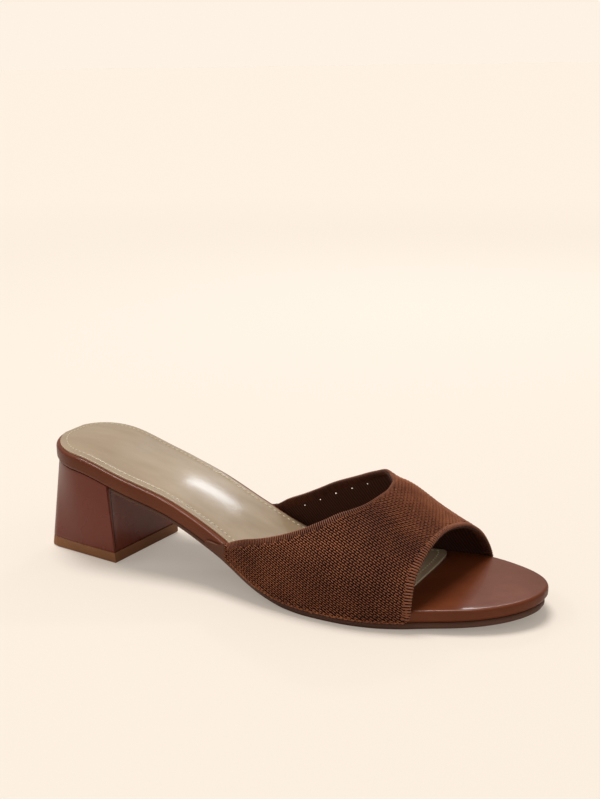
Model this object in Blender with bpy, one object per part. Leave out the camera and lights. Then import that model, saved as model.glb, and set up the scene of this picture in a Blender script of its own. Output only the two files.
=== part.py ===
"""Open-toe mule with a block heel and a knitted vamp: the right shoe of a pair.

The shoe stands on its heel and on the ball of its sole. X runs forward to the toe, Y to the
shoe's own left, which is the inner (medial) side of a right shoe, and Z up. The origin is the
middle of the top lift, on the floor.
"""

import math

import bpy
import bmesh

MM = 0.001

# The last: lengths along the floor and widths across it
SHOE_LENGTH = 239.0 * MM
BALL_WIDTH = 78.0 * MM
SEAT_WIDTH = 54.5 * MM
SEAT_RISE = 39.3 * MM
TOE_SPRING = 4.4 * MM
INSTEP_HEIGHT = 44.0 * MM

# The sole
FOOTBED_SEAT_THICKNESS = 7.0 * MM
FOOTBED_TOE_THICKNESS = 5.0 * MM
FOOTBED_TOP_RADIUS = 1.4 * MM
FOOTBED_BOTTOM_RADIUS = 2.0 * MM
OUTSOLE_THICKNESS = 2.6 * MM
OUTSOLE_WAIST_THICKNESS = 1.5 * MM
OUTSOLE_INSET = 1.3 * MM
OUTSOLE_RADIUS = 0.5 * MM
SOCK_INSET = 2.4 * MM
SOCK_THICKNESS = 1.0 * MM
SOCK_CROWN = 1.0 * MM
SOCK_LENGTH = 187.5 * MM
SOCK_FRONT_ROUND = 9.5 * MM
SOCK_FRONT_POWER = 4.0

# The heel
HEEL_BASE_LENGTH = 44.4 * MM
HEEL_BASE_WIDTH = 49.4 * MM
HEEL_BACK_WIDTH = 38.0 * MM
HEEL_BACK_CORNER = 7.0 * MM
HEEL_SETBACK = 2.0 * MM
HEEL_TURN = math.radians(-4.0)
HEEL_INSET = 1.0 * MM
BREAST_RAKE = 2.0 * MM
LIFT_THICKNESS = 5.0 * MM
LIFT_CHAMFER = 0.5 * MM

# The upper
UPPER_WALL = 1.8 * MM
UPPER_PROUD = 0.9 * MM
MARGIN_THICKNESS = 1.0 * MM
MARGIN_WIDTH = 10.0 * MM
REBATE_CLEARANCE = 1.0 * MM
RIB_BAND_WIDTH = 4.2 * MM
RIB_BAND_STEP = 0.35 * MM

# Pieces that touch on the real shoe lie this far apart
SEAM_GAP = 0.4 * MM

LATERAL = -1
MEDIAL = 1

# How far apart along the shoe two points of the outline lie to give its direction
SLOPE_STEP = 0.0005

# Outline of the footbed. A half width is a share of the seat width plus a share of the ball
# width, and the midline is a share of the ball width.
OUTLINE = (
    # along, of_seat, of_ball, midline
    (0.000, 0.500, 0.000, 0.085),
    (0.125, 0.498, 0.000, -0.010),
    (0.210, 0.498, 0.000, -0.024),
    (0.310, 0.320, 0.109, -0.050),
    (0.420, 0.190, 0.204, -0.098),
    (0.520, 0.050, 0.357, -0.134),
    (0.625, 0.000, 0.470, -0.122),
    (0.710, 0.000, 0.502, -0.106),
    (0.790, 0.000, 0.506, -0.076),
    (0.860, 0.000, 0.510, -0.050),
    (1.000, 0.000, 0.513, -0.058),
)
SEAT_ROUND_SHARE = 0.470
SEAT_ROUND_POWER = 2.06
TOE_ROUND_FROM = 0.708

# How far the sock lies inside the footbed's edge, as a share of SOCK_INSET
SOCK_MARGIN = (
    # along, inset
    (0.000, 0.80),
    (0.210, 0.95),
    (0.420, 1.35),
    (0.600, 1.20),
    (0.790, 1.00),
)
SOCK_ENDS = (0.004, SOCK_LENGTH / SHOE_LENGTH - 0.0002)
WAIST_FROM = 0.30

# Side view of the footbed's underside above the floor, and how full each thickness is
PROFILE = (
    # along, rise, spring, seat_share
    (0.000, 1.030, 0.000, 1.00),
    (0.104, 0.990, 0.000, 1.00),
    (0.208, 0.815, 0.000, 1.00),
    (0.312, 0.636, 0.000, 0.95),
    (0.417, 0.387, 0.000, 0.85),
    (0.458, 0.275, 0.000, 0.78),
    (0.500, 0.160, 0.000, 0.68),
    (0.542, 0.071, 0.000, 0.56),
    (0.583, 0.018, 0.000, 0.46),
    (0.625, 0.000, 0.000, 0.38),
    (0.750, 0.000, 0.000, 0.32),
    (0.790, 0.000, 0.080, 0.30),
    (0.830, 0.000, 0.220, 0.25),
    (0.875, 0.000, 0.360, 0.20),
    (0.917, 0.000, 0.510, 0.10),
    (0.958, 0.000, 0.720, 0.05),
    (1.000, 0.000, 1.000, 0.00),
)

# From the outsole's thickness in the waist at 0 to its full thickness at 1
OUTSOLE_FULLNESS = (
    # along, share
    (0.300, 0.00),
    (0.580, 1.00),
    (1.000, 1.00),
)

# Ridge of the vamp over the footbed: height as a share of the instep height, and how far it
# stands off the midline as a share of the ball width
RIDGE = (
    # along, height, offset
    (0.380, 0.60, 0.060),
    (0.500, 0.95, 0.060),
    (0.583, 1.15, 0.060),
    (0.663, 1.10, 0.050),
    (0.708, 0.96, 0.045),
    (0.729, 0.92, 0.040),
    (0.790, 0.70, 0.000),
    (0.838, 0.55, -0.060),
    (0.880, 0.44, -0.080),
)
ARCH_POWER = {LATERAL: 2.10, MEDIAL: 1.85}

# Girth runs from -1 at the outer edge of the footbed over the ridge at 0 to 1 at the inner
# edge. Past 1 it goes down the footbed's side, round its corner and under it.
GIRTH_SIDE = 1.10
GIRTH_CORNER = 1.16
GIRTH_END = 1.30
COLLAR = (
    # girth, along
    (-1.30, 0.402),
    (-1.10, 0.408),
    (-1.00, 0.440),
    (-0.83, 0.496),
    (-0.70, 0.579),
    (-0.61, 0.625),
    (-0.52, 0.661),
    (-0.39, 0.694),
    (-0.25, 0.714),
    (-0.11, 0.723),
    (-0.01, 0.719),
    (0.10, 0.707),
    (0.24, 0.690),
    (0.36, 0.667),
    (0.47, 0.625),
    (0.54, 0.593),
    (0.61, 0.555),
    (0.70, 0.512),
    (0.83, 0.467),
    (0.98, 0.432),
    (1.10, 0.392),
    (1.30, 0.385),
)
TOE_OPENING = (
    # girth, along
    (-1.30, 0.808),
    (-1.10, 0.813),
    (-1.00, 0.815),
    (-0.71, 0.816),
    (-0.54, 0.819),
    (-0.31, 0.825),
    (-0.10, 0.830),
    (0.12, 0.836),
    (0.45, 0.844),
    (0.71, 0.849),
    (1.00, 0.856),
    (1.10, 0.857),
    (1.30, 0.852),
)


def smooth(rows, column, at):
    """Read a table column at a place between its rows, with a curve that never overshoots."""
    places = [row[0] for row in rows]
    values = [row[column] for row in rows]
    at = min(max(at, places[0]), places[-1])
    last = len(rows) - 2
    i = 0
    while i < last and at > places[i + 1]:
        i += 1
    slopes = [(values[k + 1] - values[k]) / (places[k + 1] - places[k])
              for k in range(len(rows) - 1)]

    def tangent(k):
        if k == 0:
            return slopes[0]
        if k == len(rows) - 1:
            return slopes[-1]
        before, after = slopes[k - 1], slopes[k]
        if before * after <= 0.0:
            return 0.0
        return 2.0 * before * after / (before + after)

    width = places[i + 1] - places[i]
    t = (at - places[i]) / width
    t2, t3 = t * t, t * t * t
    return ((2 * t3 - 3 * t2 + 1) * values[i] + (t3 - 2 * t2 + t) * width * tangent(i)
            + (3 * t2 - 2 * t3) * values[i + 1] + (t3 - t2) * width * tangent(i + 1))


def mix(a, b, t):
    return a + (b - a) * t


# Places along the shoe

HEEL_BACK = -(HEEL_BASE_LENGTH / 2 + HEEL_SETBACK)


def forward(along):
    """X of a share of the shoe's length."""
    return HEEL_BACK + along * SHOE_LENGTH


def along_of(x):
    return (x - HEEL_BACK) / SHOE_LENGTH


def underside(x):
    """Height of the footbed's underside."""
    along = along_of(x)
    ball = OUTSOLE_THICKNESS + SEAM_GAP
    return (ball + SEAT_RISE * smooth(PROFILE, 1, along)
            + TOE_SPRING * smooth(PROFILE, 2, along))


def footbed_thickness(x):
    share = smooth(PROFILE, 3, along_of(x))
    return mix(FOOTBED_TOE_THICKNESS, FOOTBED_SEAT_THICKNESS, share)


def topside(x):
    return underside(x) + footbed_thickness(x)


def outsole_thickness(x):
    """Full under the ball and the toe, thin in the waist."""
    return mix(OUTSOLE_WAIST_THICKNESS, OUTSOLE_THICKNESS, smooth(OUTSOLE_FULLNESS, 1, along_of(x)))


def half_width(along):
    body = (SEAT_WIDTH * smooth(OUTLINE, 1, along) + BALL_WIDTH * smooth(OUTLINE, 2, along))
    round_length = SEAT_ROUND_SHARE * SEAT_WIDTH
    behind = max(0.0, 1.0 - along * SHOE_LENGTH / round_length)
    seat = (1.0 - min(1.0, behind) ** SEAT_ROUND_POWER) ** (1.0 / SEAT_ROUND_POWER)
    ahead = max(0.0, (along - TOE_ROUND_FROM) / (1.0 - TOE_ROUND_FROM))
    toe = math.sqrt(max(0.0, 1.0 - ahead * ahead))
    return body * seat * toe


def edge(side, along):
    """A point of the footbed's outline, seen from above."""
    return forward(along), BALL_WIDTH * smooth(OUTLINE, 3, along) + side * half_width(along)


def inset_edge(side, along, inset):
    """The same point moved inwards, square to the outline."""
    low = max(0.0, along - SLOPE_STEP)
    high = min(1.0, along + SLOPE_STEP)
    x0, y0 = edge(side, low)
    x1, y1 = edge(side, high)
    length = math.hypot(x1 - x0, y1 - y0)
    x, y = edge(side, along)
    return x + side * inset * (y1 - y0) / length, y - side * inset * (x1 - x0) / length


# Solids from loops that run up the outer side and back down the inner side

def new_object(name, verts, faces, material):
    mesh = bpy.data.meshes.new(name)
    mesh.from_pydata(verts, [], faces)
    work = bmesh.new()
    work.from_mesh(mesh)
    bmesh.ops.recalc_face_normals(work, faces=work.faces)
    work.to_mesh(mesh)
    work.free()
    mesh.materials.append(material)
    mesh.shade_smooth()
    mesh.set_sharp_from_angle(angle=math.radians(35))
    obj = bpy.data.objects.new(name, mesh)
    bpy.context.scene.collection.objects.link(obj)
    return obj


def solid_from_loops(name, loops, material):
    """Join closed loops of equal count, bottom to top, and close both ends across the shoe."""
    count = len(loops[0])
    verts = [point for loop in loops for point in loop]
    faces = []
    for level in range(len(loops) - 1):
        a, b = level * count, (level + 1) * count
        for i in range(count):
            j = (i + 1) % count
            faces.append((a + i, a + j, b + j, b + i))
    half = count // 2
    for start in (0, (len(loops) - 1) * count):
        for i in range(half - 1):
            faces.append((start + i, start + i + 1,
                          start + count - 2 - i, start + count - 1 - i))
    return new_object(name, verts, faces, material)


def loop_at(stations, inset, height):
    """One closed loop at an inset and a height, each a function of the side and the station."""
    points = []
    for side, order in ((LATERAL, 1), (MEDIAL, -1)):
        for along in stations[side][::order]:
            x, y = inset_edge(side, along, inset(side, along))
            points.append((x, y, height(x, side, along)))
    return points


def bunched(start, end, count, near_end=False):
    """Stations that crowd towards one end, where the outline turns."""
    shares = [1.0 - math.cos(0.5 * math.pi * k / count) for k in range(count + 1)]
    if near_end:
        shares = [1.0 - share for share in reversed(shares)]
    return [mix(start, end, share) for share in shares]


# Stations stop this share of the length short of an end, and a rounded edge's middle ring lies
# this share of its radius in from both faces
END_SHARE = 0.0006
SOFTEN = 0.3
FOLD_STEP = REBATE_CLEARANCE / SHOE_LENGTH


def rebate_ends(side, reach):
    """Where the rebate for the upper starts and ends, at one girth down the footbed's edge."""
    back = smooth(COLLAR, 1, side * reach)
    front = smooth(TOE_OPENING, 1, side * reach)
    return back - FOLD_STEP, front + FOLD_STEP


def footbed_stations(reach):
    """Stations of one ring, which close up in pairs where the rebate steps in and out."""
    stations = {}
    for side in (LATERAL, MEDIAL):
        back, front = rebate_ends(side, reach)
        stations[side] = (bunched(END_SHARE, back - FOLD_STEP, 14)
                          + [mix(back, front, k / 12) for k in range(13)]
                          + bunched(front + FOLD_STEP, 1.0 - END_SHARE, 10, near_end=True))
    return stations


# Pieces

def make_footbed(material):
    """Wrapped insole board, cut back along both edges and underneath where the upper is lasted."""
    recess = UPPER_WALL - UPPER_PROUD + SEAM_GAP
    rebate = MARGIN_THICKNESS + SEAM_GAP
    rebate_width = MARGIN_WIDTH + REBATE_CLEARANCE
    lower, upper = FOOTBED_BOTTOM_RADIUS, FOOTBED_TOP_RADIUS

    def ring(reach, inset, rise, cut_side=True, cut_under=True, from_top=False):
        def in_rebate(side, along):
            back, front = rebate_ends(side, reach)
            return back - FOLD_STEP / 2 < along < front + FOLD_STEP / 2

        def inset_at(side, along):
            return inset + (recess if cut_side and in_rebate(side, along) else 0.0)

        def height_at(x, side, along):
            if from_top:
                return topside(x) - rise
            return underside(x) + rise + (rebate if cut_under and in_rebate(side, along) else 0.0)

        return loop_at(footbed_stations(reach), inset_at, height_at)

    loops = [
        ring(GIRTH_END, rebate_width + SEAM_GAP, 0.0, cut_side=False, cut_under=False),
        ring(GIRTH_END, rebate_width, 0.0, cut_side=False),
        ring(GIRTH_CORNER, lower, 0.0),
        ring(GIRTH_CORNER, SOFTEN * lower, SOFTEN * lower),
        ring(GIRTH_SIDE, 0.0, lower),
        ring(1.0, 0.0, upper, from_top=True),
        ring(1.0, SOFTEN * upper, SOFTEN * upper, from_top=True),
        ring(1.0, upper, 0.0, from_top=True),
    ]
    return solid_from_loops("footbed", loops, material)


def heel_place(x, y):
    """Turn a point of the heel's own plan into the shoe's."""
    c, s = math.cos(HEEL_TURN), math.sin(HEEL_TURN)
    return x * c - y * s, x * s + y * c


def heel_share(x, y):
    """How far forward a point lies in the heel's own plan."""
    return x * math.cos(HEEL_TURN) + y * math.sin(HEEL_TURN)


def breast_along(side, ahead, inset):
    """Where an edge of the footbed crosses the breast line."""
    line = HEEL_BASE_LENGTH / 2 - BREAST_RAKE + ahead
    low, high = END_SHARE, 0.5
    for _ in range(40):
        middle = (low + high) / 2
        if heel_share(*inset_edge(side, middle, inset)) < line:
            low = middle
        else:
            high = middle
    return (low + high) / 2


def make_outsole(material):
    """Thin sheet from the heel's breast to the toe, thinner in the waist."""
    stations = {}
    for side in (LATERAL, MEDIAL):
        start = breast_along(side, BREAST_RAKE / 2 + SEAM_GAP, OUTSOLE_INSET)
        middle = [mix(start, TOE_ROUND_FROM, k / 18) for k in range(18)]
        stations[side] = middle + bunched(TOE_ROUND_FROM, 1.0 - END_SHARE, 14, near_end=True)

    def inset_by(amount):
        return lambda side, along: OUTSOLE_INSET + amount

    def below(amount):
        return lambda x, side, along: underside(x) - SEAM_GAP - outsole_thickness(x) + amount

    def top(x, side, along):
        return underside(x) - SEAM_GAP

    loops = [
        loop_at(stations, inset_by(OUTSOLE_RADIUS), below(0.0)),
        loop_at(stations, inset_by(0.0), below(OUTSOLE_RADIUS)),
        loop_at(stations, inset_by(0.0), top),
    ]
    return solid_from_loops("outsole", loops, material)


def make_sock(material):
    """Padded sock: the footbed's outline drawn in, with its own squared-off front end."""
    start, end = SOCK_ENDS
    front = end - SOCK_FRONT_ROUND / SHOE_LENGTH
    stations = bunched(start, WAIST_FROM, 12)[:-1]
    stations += [mix(WAIST_FROM, front, k / 16) for k in range(16)]
    stations += bunched(front, end, 10, near_end=True)

    def loop(inset, height):
        points = []
        for side, order in ((LATERAL, 1), (MEDIAL, -1)):
            for along in stations[::order]:
                x, y = inset_edge(side, along, SOCK_INSET * smooth(SOCK_MARGIN, 1, along))
                middle = BALL_WIDTH * smooth(OUTLINE, 3, along)
                ahead = max(0.0, (along - front) / (end - front)) ** SOCK_FRONT_POWER
                cap = (1.0 - ahead) ** (1.0 / SOCK_FRONT_POWER)
                half = max(0.0, abs(y - middle) * cap - inset)
                x -= inset * ahead
                points.append((x, middle + side * half, topside(x) + SEAM_GAP + height))
        return points

    roll = SOCK_THICKNESS / 2
    loops = [
        loop(0.0, 0.0),
        loop(0.0, SOCK_THICKNESS - roll),
        loop(roll, SOCK_THICKNESS),
        loop(4 * SOCK_THICKNESS, SOCK_THICKNESS + 0.75 * SOCK_CROWN),
        loop(9 * SOCK_THICKNESS, SOCK_THICKNESS + SOCK_CROWN),
    ]
    return solid_from_loops("insole_sock", loops, material)


def spread(path, count):
    """Points evenly spaced along a path."""
    lengths = [0.0]
    for a, b in zip(path, path[1:]):
        lengths.append(lengths[-1] + math.hypot(b[0] - a[0], b[1] - a[1]))
    points = []
    k = 0
    for i in range(count):
        target = lengths[-1] * i / (count - 1)
        while k < len(path) - 2 and lengths[k + 1] < target:
            k += 1
        t = (target - lengths[k]) / (lengths[k + 1] - lengths[k])
        points.append((mix(path[k][0], path[k + 1][0], t), mix(path[k][1], path[k + 1][1], t)))
    return points


HEEL_POINTS = 42
HEEL_HEIGHT = SEAT_RISE + OUTSOLE_THICKNESS


def heel_base():
    """Plan of the heel on the floor: outer side, rounded back corners, inner side."""
    ahead, back = HEEL_BASE_LENGTH / 2, -HEEL_BASE_LENGTH / 2
    taper = math.atan2((HEEL_BASE_WIDTH - HEEL_BACK_WIDTH) / 2, HEEL_BASE_LENGTH)
    swing = math.pi / 2 - taper
    corner = HEEL_BACK_CORNER
    centre_x = back + corner
    centre_y = HEEL_BACK_WIDTH / 2 + math.tan(taper) * corner - corner / math.cos(taper)
    outer = [(ahead, -HEEL_BASE_WIDTH / 2)]
    for k in range(9):
        angle = math.pi / 2 - swing + swing * k / 8
        outer.append((centre_x - corner * math.sin(angle), -centre_y - corner * math.cos(angle)))
    inner = [(x, -y) for x, y in reversed(outer)]
    return [heel_place(x, y) for x, y in spread(outer + inner, HEEL_POINTS)]


def heel_top():
    """Plan of the heel under the footbed: the seat's outline drawn in."""
    outer_end = breast_along(LATERAL, 0.0, HEEL_INSET)
    inner_end = breast_along(MEDIAL, 0.0, HEEL_INSET)
    path = [inset_edge(LATERAL, along, HEEL_INSET)
            for along in reversed(bunched(END_SHARE, outer_end, HEEL_POINTS))]
    path += [inset_edge(MEDIAL, along, HEEL_INSET)
             for along in bunched(END_SHARE, inner_end, HEEL_POINTS)]
    return spread(path, HEEL_POINTS)


def heel_loop(share, height):
    """A loop between the heel's foot at 0 and its top at 1."""
    points = []
    for (x0, y0), (x1, y1) in zip(heel_base(), heel_top()):
        x, y = mix(x0, x1, share), mix(y0, y1, share)
        points.append((x, y, height(x, share)))
    return points


def make_heel(material):
    """Block heel, which flares from the lift up to the seat."""
    foot = LIFT_THICKNESS + SEAM_GAP
    start = foot / HEEL_HEIGHT
    levels = 6

    def height(x, share):
        return mix(foot, underside(x) - SEAM_GAP, (share - start) / (1.0 - start))

    loops = [heel_loop(mix(start, 1.0, k / levels), height) for k in range(levels + 1)]
    return solid_from_loops("heel", loops, material)


def make_lift(material):
    """Top lift: the last piece of the heel, with a small bevel where it meets the floor."""
    base = heel_loop(0.0, lambda x, share: 0.0)
    trim = 1.0 - 2.0 * LIFT_CHAMFER / HEEL_BASE_LENGTH
    loops = [
        [(x * trim, y * trim, 0.0) for x, y, _ in base],
        [(x, y, LIFT_CHAMFER) for x, y, _ in base],
        heel_loop(LIFT_THICKNESS / HEEL_HEIGHT, lambda x, share: LIFT_THICKNESS),
    ]
    return solid_from_loops("heel_top_lift", loops, material)


def vamp_point(along, girth, proud=0.0):
    """A point of the upper's outer face."""
    side = LATERAL if girth < 0 else MEDIAL
    reach = abs(girth)
    outward = UPPER_PROUD + proud
    corner = FOOTBED_BOTTOM_RADIUS
    if reach <= 1.0:
        rim_x, rim_y = inset_edge(side, along, -outward)
        middle = BALL_WIDTH * (smooth(OUTLINE, 3, along) + smooth(RIDGE, 2, along))
        height = INSTEP_HEIGHT * smooth(RIDGE, 1, along) + FOOTBED_TOP_RADIUS + proud
        power = 2.0 / ARCH_POWER[side]
        angle = 0.5 * math.pi * reach
        across = math.sin(angle) ** power
        up = max(0.0, math.cos(angle)) ** power
        x = mix(forward(along), rim_x, across)
        return x, mix(middle, rim_y, across), topside(x) - FOOTBED_TOP_RADIUS + height * up
    if reach <= GIRTH_SIDE:
        x, y = inset_edge(side, along, -outward)
        share = (reach - 1.0) / (GIRTH_SIDE - 1.0)
        return x, y, mix(topside(x) - FOOTBED_TOP_RADIUS, underside(x) - proud + corner, share)
    if reach <= GIRTH_CORNER:
        angle = 0.5 * math.pi * (reach - GIRTH_SIDE) / (GIRTH_CORNER - GIRTH_SIDE)
        x, y = inset_edge(side, along, corner * (1.0 - math.cos(angle)) - outward)
        return x, y, underside(x) - proud + corner * (1.0 - math.sin(angle))
    share = (reach - GIRTH_CORNER) / (GIRTH_END - GIRTH_CORNER)
    x, y = inset_edge(side, along, mix(corner - outward, MARGIN_WIDTH, share))
    return x, y, underside(x) - proud


def girth_places():
    """Places across the vamp: margins, corners, sides and the arch."""
    sides = [GIRTH_END, mix(GIRTH_END, GIRTH_CORNER, 0.5), GIRTH_CORNER,
             mix(GIRTH_CORNER, GIRTH_SIDE, 0.5), GIRTH_SIDE, mix(GIRTH_SIDE, 1.0, 0.5)]
    arch = 36
    return ([-reach for reach in sides] + [mix(-1.0, 1.0, k / arch) for k in range(arch + 1)]
            + sides[::-1])


def distance(a, b):
    return math.sqrt(sum((p - q) ** 2 for p, q in zip(a, b)))


def band_edge(table, girth, towards, width):
    """Follow one line of the vamp from its edge until it is a band's width away from it."""
    rim = [vamp_point(smooth(table, 1, g), g) for g in girth_places()]
    start = smooth(table, 1, girth)
    end = smooth(towards, 1, girth)
    low, high = 0.0, 0.5
    for _ in range(24):
        middle = (low + high) / 2
        point = vamp_point(mix(start, end, middle), girth)
        if min(distance(point, r) for r in rim) < width:
            low = middle
        else:
            high = middle
    return mix(start, end, (low + high) / 2)


def make_upper(material):
    """One wall: an outer grid, an inner grid drawn in by the wall, and strips round the rims."""
    places = girth_places()
    inner_rows = 11
    step = RIB_BAND_STEP / SHOE_LENGTH
    outer, outer_plain, walls = [], [], []
    for girth in places:
        back = smooth(COLLAR, 1, girth)
        front = smooth(TOE_OPENING, 1, girth)
        collar = band_edge(COLLAR, girth, TOE_OPENING, RIB_BAND_WIDTH)
        toe = band_edge(TOE_OPENING, girth, COLLAR, RIB_BAND_WIDTH)
        line = [(back, 1), (mix(back, collar, 0.5), 1), (collar, 1)]
        line += [(mix(collar + step, toe - step, k / inner_rows), 0) for k in range(inner_rows + 1)]
        line += [(toe, 1), (mix(toe, front, 0.5), 1), (front, 1)]
        raised = RIB_BAND_STEP * min(1.0, max(0.0, (GIRTH_SIDE - abs(girth)) / (GIRTH_SIDE - 1.0)))
        margin = min(1.0, max(0.0, (abs(girth) - GIRTH_SIDE) / (GIRTH_CORNER - GIRTH_SIDE)))
        wall = mix(UPPER_WALL, MARGIN_THICKNESS, margin)
        outer.append([vamp_point(along, girth, raised * band) for along, band in line])
        outer_plain.append([vamp_point(along, girth) for along, _ in line])
        walls.append([wall + raised * band for _, band in line])
    rows, columns = len(places), len(outer[0])

    def normal(i, j):
        a = outer_plain[max(i - 1, 0)][j]
        b = outer_plain[min(i + 1, rows - 1)][j]
        c = outer_plain[i][max(j - 1, 0)]
        d = outer_plain[i][min(j + 1, columns - 1)]
        u = [q - p for p, q in zip(a, b)]
        v = [q - p for p, q in zip(c, d)]
        n = (u[1] * v[2] - u[2] * v[1], u[2] * v[0] - u[0] * v[2], u[0] * v[1] - u[1] * v[0])
        length = math.sqrt(sum(k * k for k in n))
        return [k / length for k in n]

    inner = [[tuple(p + walls[i][j] * n for p, n in zip(outer[i][j], normal(i, j)))
              for j in range(columns)] for i in range(rows)]
    verts = [p for line in outer for p in line] + [p for line in inner for p in line]
    half = rows * columns
    faces = []
    for i in range(rows - 1):
        for j in range(columns - 1):
            a = i * columns + j
            quad = (a, a + 1, a + columns + 1, a + columns)
            faces.append(quad)
            faces.append(tuple(half + k for k in reversed(quad)))
    rim = [j for j in range(columns)]
    rim += [i * columns + columns - 1 for i in range(1, rows)]
    rim += [(rows - 1) * columns + j for j in range(columns - 2, -1, -1)]
    rim += [i * columns for i in range(rows - 2, 0, -1)]
    for a, b in zip(rim, rim[1:] + rim[:1]):
        faces.append((a, b, half + b, half + a))
    return new_object("upper", verts, faces, material)


# Materials

def make_material(name, colour, roughness):
    material = bpy.data.materials.new(name)
    material.use_nodes = True
    shader = material.node_tree.nodes["Principled BSDF"]
    shader.inputs["Base Color"].default_value = (*colour, 1.0)
    shader.inputs["Roughness"].default_value = roughness
    shader.inputs["Metallic"].default_value = 0.0
    return material


def main():
    for obj in list(bpy.data.objects):
        bpy.data.objects.remove(obj)
    make_lift(make_material("lift_rubber", (0.16, 0.08, 0.04), 0.6))
    make_heel(make_material("heel_cover", (0.13, 0.04, 0.025), 0.3))
    make_outsole(make_material("outsole_sheet", (0.10, 0.05, 0.03), 0.55))
    make_footbed(make_material("footbed_cover", (0.15, 0.05, 0.03), 0.28))
    make_sock(make_material("sock_lining", (0.50, 0.40, 0.28), 0.4))
    make_upper(make_material("knit", (0.11, 0.04, 0.018), 0.85))


main()
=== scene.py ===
# %% [markdown]
# A right-foot mule with a knitted vamp, a wrapped footbed, a stitched sock and a low block heel.
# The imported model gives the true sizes. Each step below dresses one part of it: first the curves
# that every piece shares, then the finishes, then the pieces from the floor up, and last the
# camera and the light.

# %% Load the model
import math

import bmesh
import bpy
import numpy as np
from mathutils import Matrix, Vector


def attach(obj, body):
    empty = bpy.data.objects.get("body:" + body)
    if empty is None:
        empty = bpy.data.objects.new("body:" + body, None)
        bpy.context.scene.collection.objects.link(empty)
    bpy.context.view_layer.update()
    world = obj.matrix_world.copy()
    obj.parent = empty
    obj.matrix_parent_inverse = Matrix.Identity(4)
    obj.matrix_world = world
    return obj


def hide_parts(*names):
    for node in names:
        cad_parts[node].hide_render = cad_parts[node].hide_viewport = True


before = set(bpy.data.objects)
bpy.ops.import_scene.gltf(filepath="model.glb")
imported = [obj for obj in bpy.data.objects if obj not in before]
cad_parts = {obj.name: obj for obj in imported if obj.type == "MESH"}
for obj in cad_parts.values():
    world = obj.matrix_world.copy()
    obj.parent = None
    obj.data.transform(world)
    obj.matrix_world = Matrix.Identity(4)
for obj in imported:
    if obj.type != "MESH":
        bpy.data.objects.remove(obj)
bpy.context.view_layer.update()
print("nodes", sorted(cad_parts))

# %% [markdown]
# A shoe is built round a last, the wooden foot that gives its lengths and widths. Here the last
# is a few named sizes in metres and some short tables. A table row gives shares of those sizes
# at one place along the shoe, from 0 at the back of the heel to 1 at the tip of the toe.

# %% Sizes of the last, the sole, the heel and the upper
MM = 0.001

SHOE_LENGTH = 239.0 * MM
BALL_WIDTH = 78.0 * MM
SEAT_WIDTH = 54.5 * MM
SEAT_RISE = 39.3 * MM
TOE_SPRING = 4.4 * MM
INSTEP_HEIGHT = 44.0 * MM

FOOTBED_SEAT_THICKNESS = 7.0 * MM
FOOTBED_TOE_THICKNESS = 5.0 * MM
FOOTBED_TOP_RADIUS = 1.4 * MM
FOOTBED_BOTTOM_RADIUS = 2.0 * MM
OUTSOLE_THICKNESS = 2.6 * MM
OUTSOLE_WAIST_THICKNESS = 1.5 * MM
OUTSOLE_INSET = 1.3 * MM
OUTSOLE_RADIUS = 0.5 * MM
SOCK_INSET = 2.4 * MM
SOCK_LENGTH = 187.5 * MM
SOCK_FRONT_ROUND = 9.5 * MM
SOCK_FRONT_POWER = 4.0

HEEL_BASE_LENGTH = 44.4 * MM
HEEL_BASE_WIDTH = 49.4 * MM
HEEL_BACK_WIDTH = 38.0 * MM
HEEL_BACK_CORNER = 7.0 * MM
HEEL_SETBACK = 2.0 * MM
HEEL_TURN = math.radians(-4.0)
HEEL_INSET = 1.0 * MM
BREAST_RAKE = 2.0 * MM
LIFT_THICKNESS = 5.0 * MM
HEEL_HEIGHT = SEAT_RISE + OUTSOLE_THICKNESS

UPPER_WALL = 1.8 * MM
UPPER_PROUD = 0.9 * MM
COLLAR_BAND = 3.2 * MM
TOE_BAND = 3.5 * MM
SEAM_GAP = 0.4 * MM

LATERAL = -1
MEDIAL = 1
HEEL_BACK = -(HEEL_BASE_LENGTH / 2 + HEEL_SETBACK)
END_SHARE = 0.0006
SLOPE_STEP = 0.0005
print("the heel is", round(1000 * HEEL_HEIGHT, 1), "mm high with its lift")

# %% Tables of the outline, the side view and the vamp
OUTLINE = (
    # along, of_seat, of_ball, midline
    (0.000, 0.500, 0.000, 0.085),
    (0.125, 0.498, 0.000, -0.010),
    (0.210, 0.498, 0.000, -0.024),
    (0.310, 0.320, 0.109, -0.050),
    (0.420, 0.190, 0.204, -0.098),
    (0.520, 0.050, 0.357, -0.134),
    (0.625, 0.000, 0.470, -0.122),
    (0.710, 0.000, 0.502, -0.106),
    (0.790, 0.000, 0.506, -0.076),
    (0.860, 0.000, 0.510, -0.050),
    (1.000, 0.000, 0.513, -0.058),
)
SEAT_ROUND_SHARE = 0.470
SEAT_ROUND_POWER = 2.06
TOE_ROUND_FROM = 0.708

PROFILE = (
    # along, rise, spring, seat_share
    (0.000, 1.030, 0.000, 1.00),
    (0.104, 0.990, 0.000, 1.00),
    (0.208, 0.815, 0.000, 1.00),
    (0.312, 0.636, 0.000, 0.95),
    (0.417, 0.387, 0.000, 0.85),
    (0.458, 0.275, 0.000, 0.78),
    (0.500, 0.160, 0.000, 0.68),
    (0.542, 0.071, 0.000, 0.56),
    (0.583, 0.018, 0.000, 0.46),
    (0.625, 0.000, 0.000, 0.38),
    (0.750, 0.000, 0.000, 0.32),
    (0.790, 0.000, 0.080, 0.30),
    (0.830, 0.000, 0.220, 0.25),
    (0.875, 0.000, 0.360, 0.20),
    (0.917, 0.000, 0.510, 0.10),
    (0.958, 0.000, 0.720, 0.05),
    (1.000, 0.000, 1.000, 0.00),
)
OUTSOLE_FULLNESS = (
    # along, share
    (0.300, 0.00),
    (0.580, 1.00),
    (1.000, 1.00),
)
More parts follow.
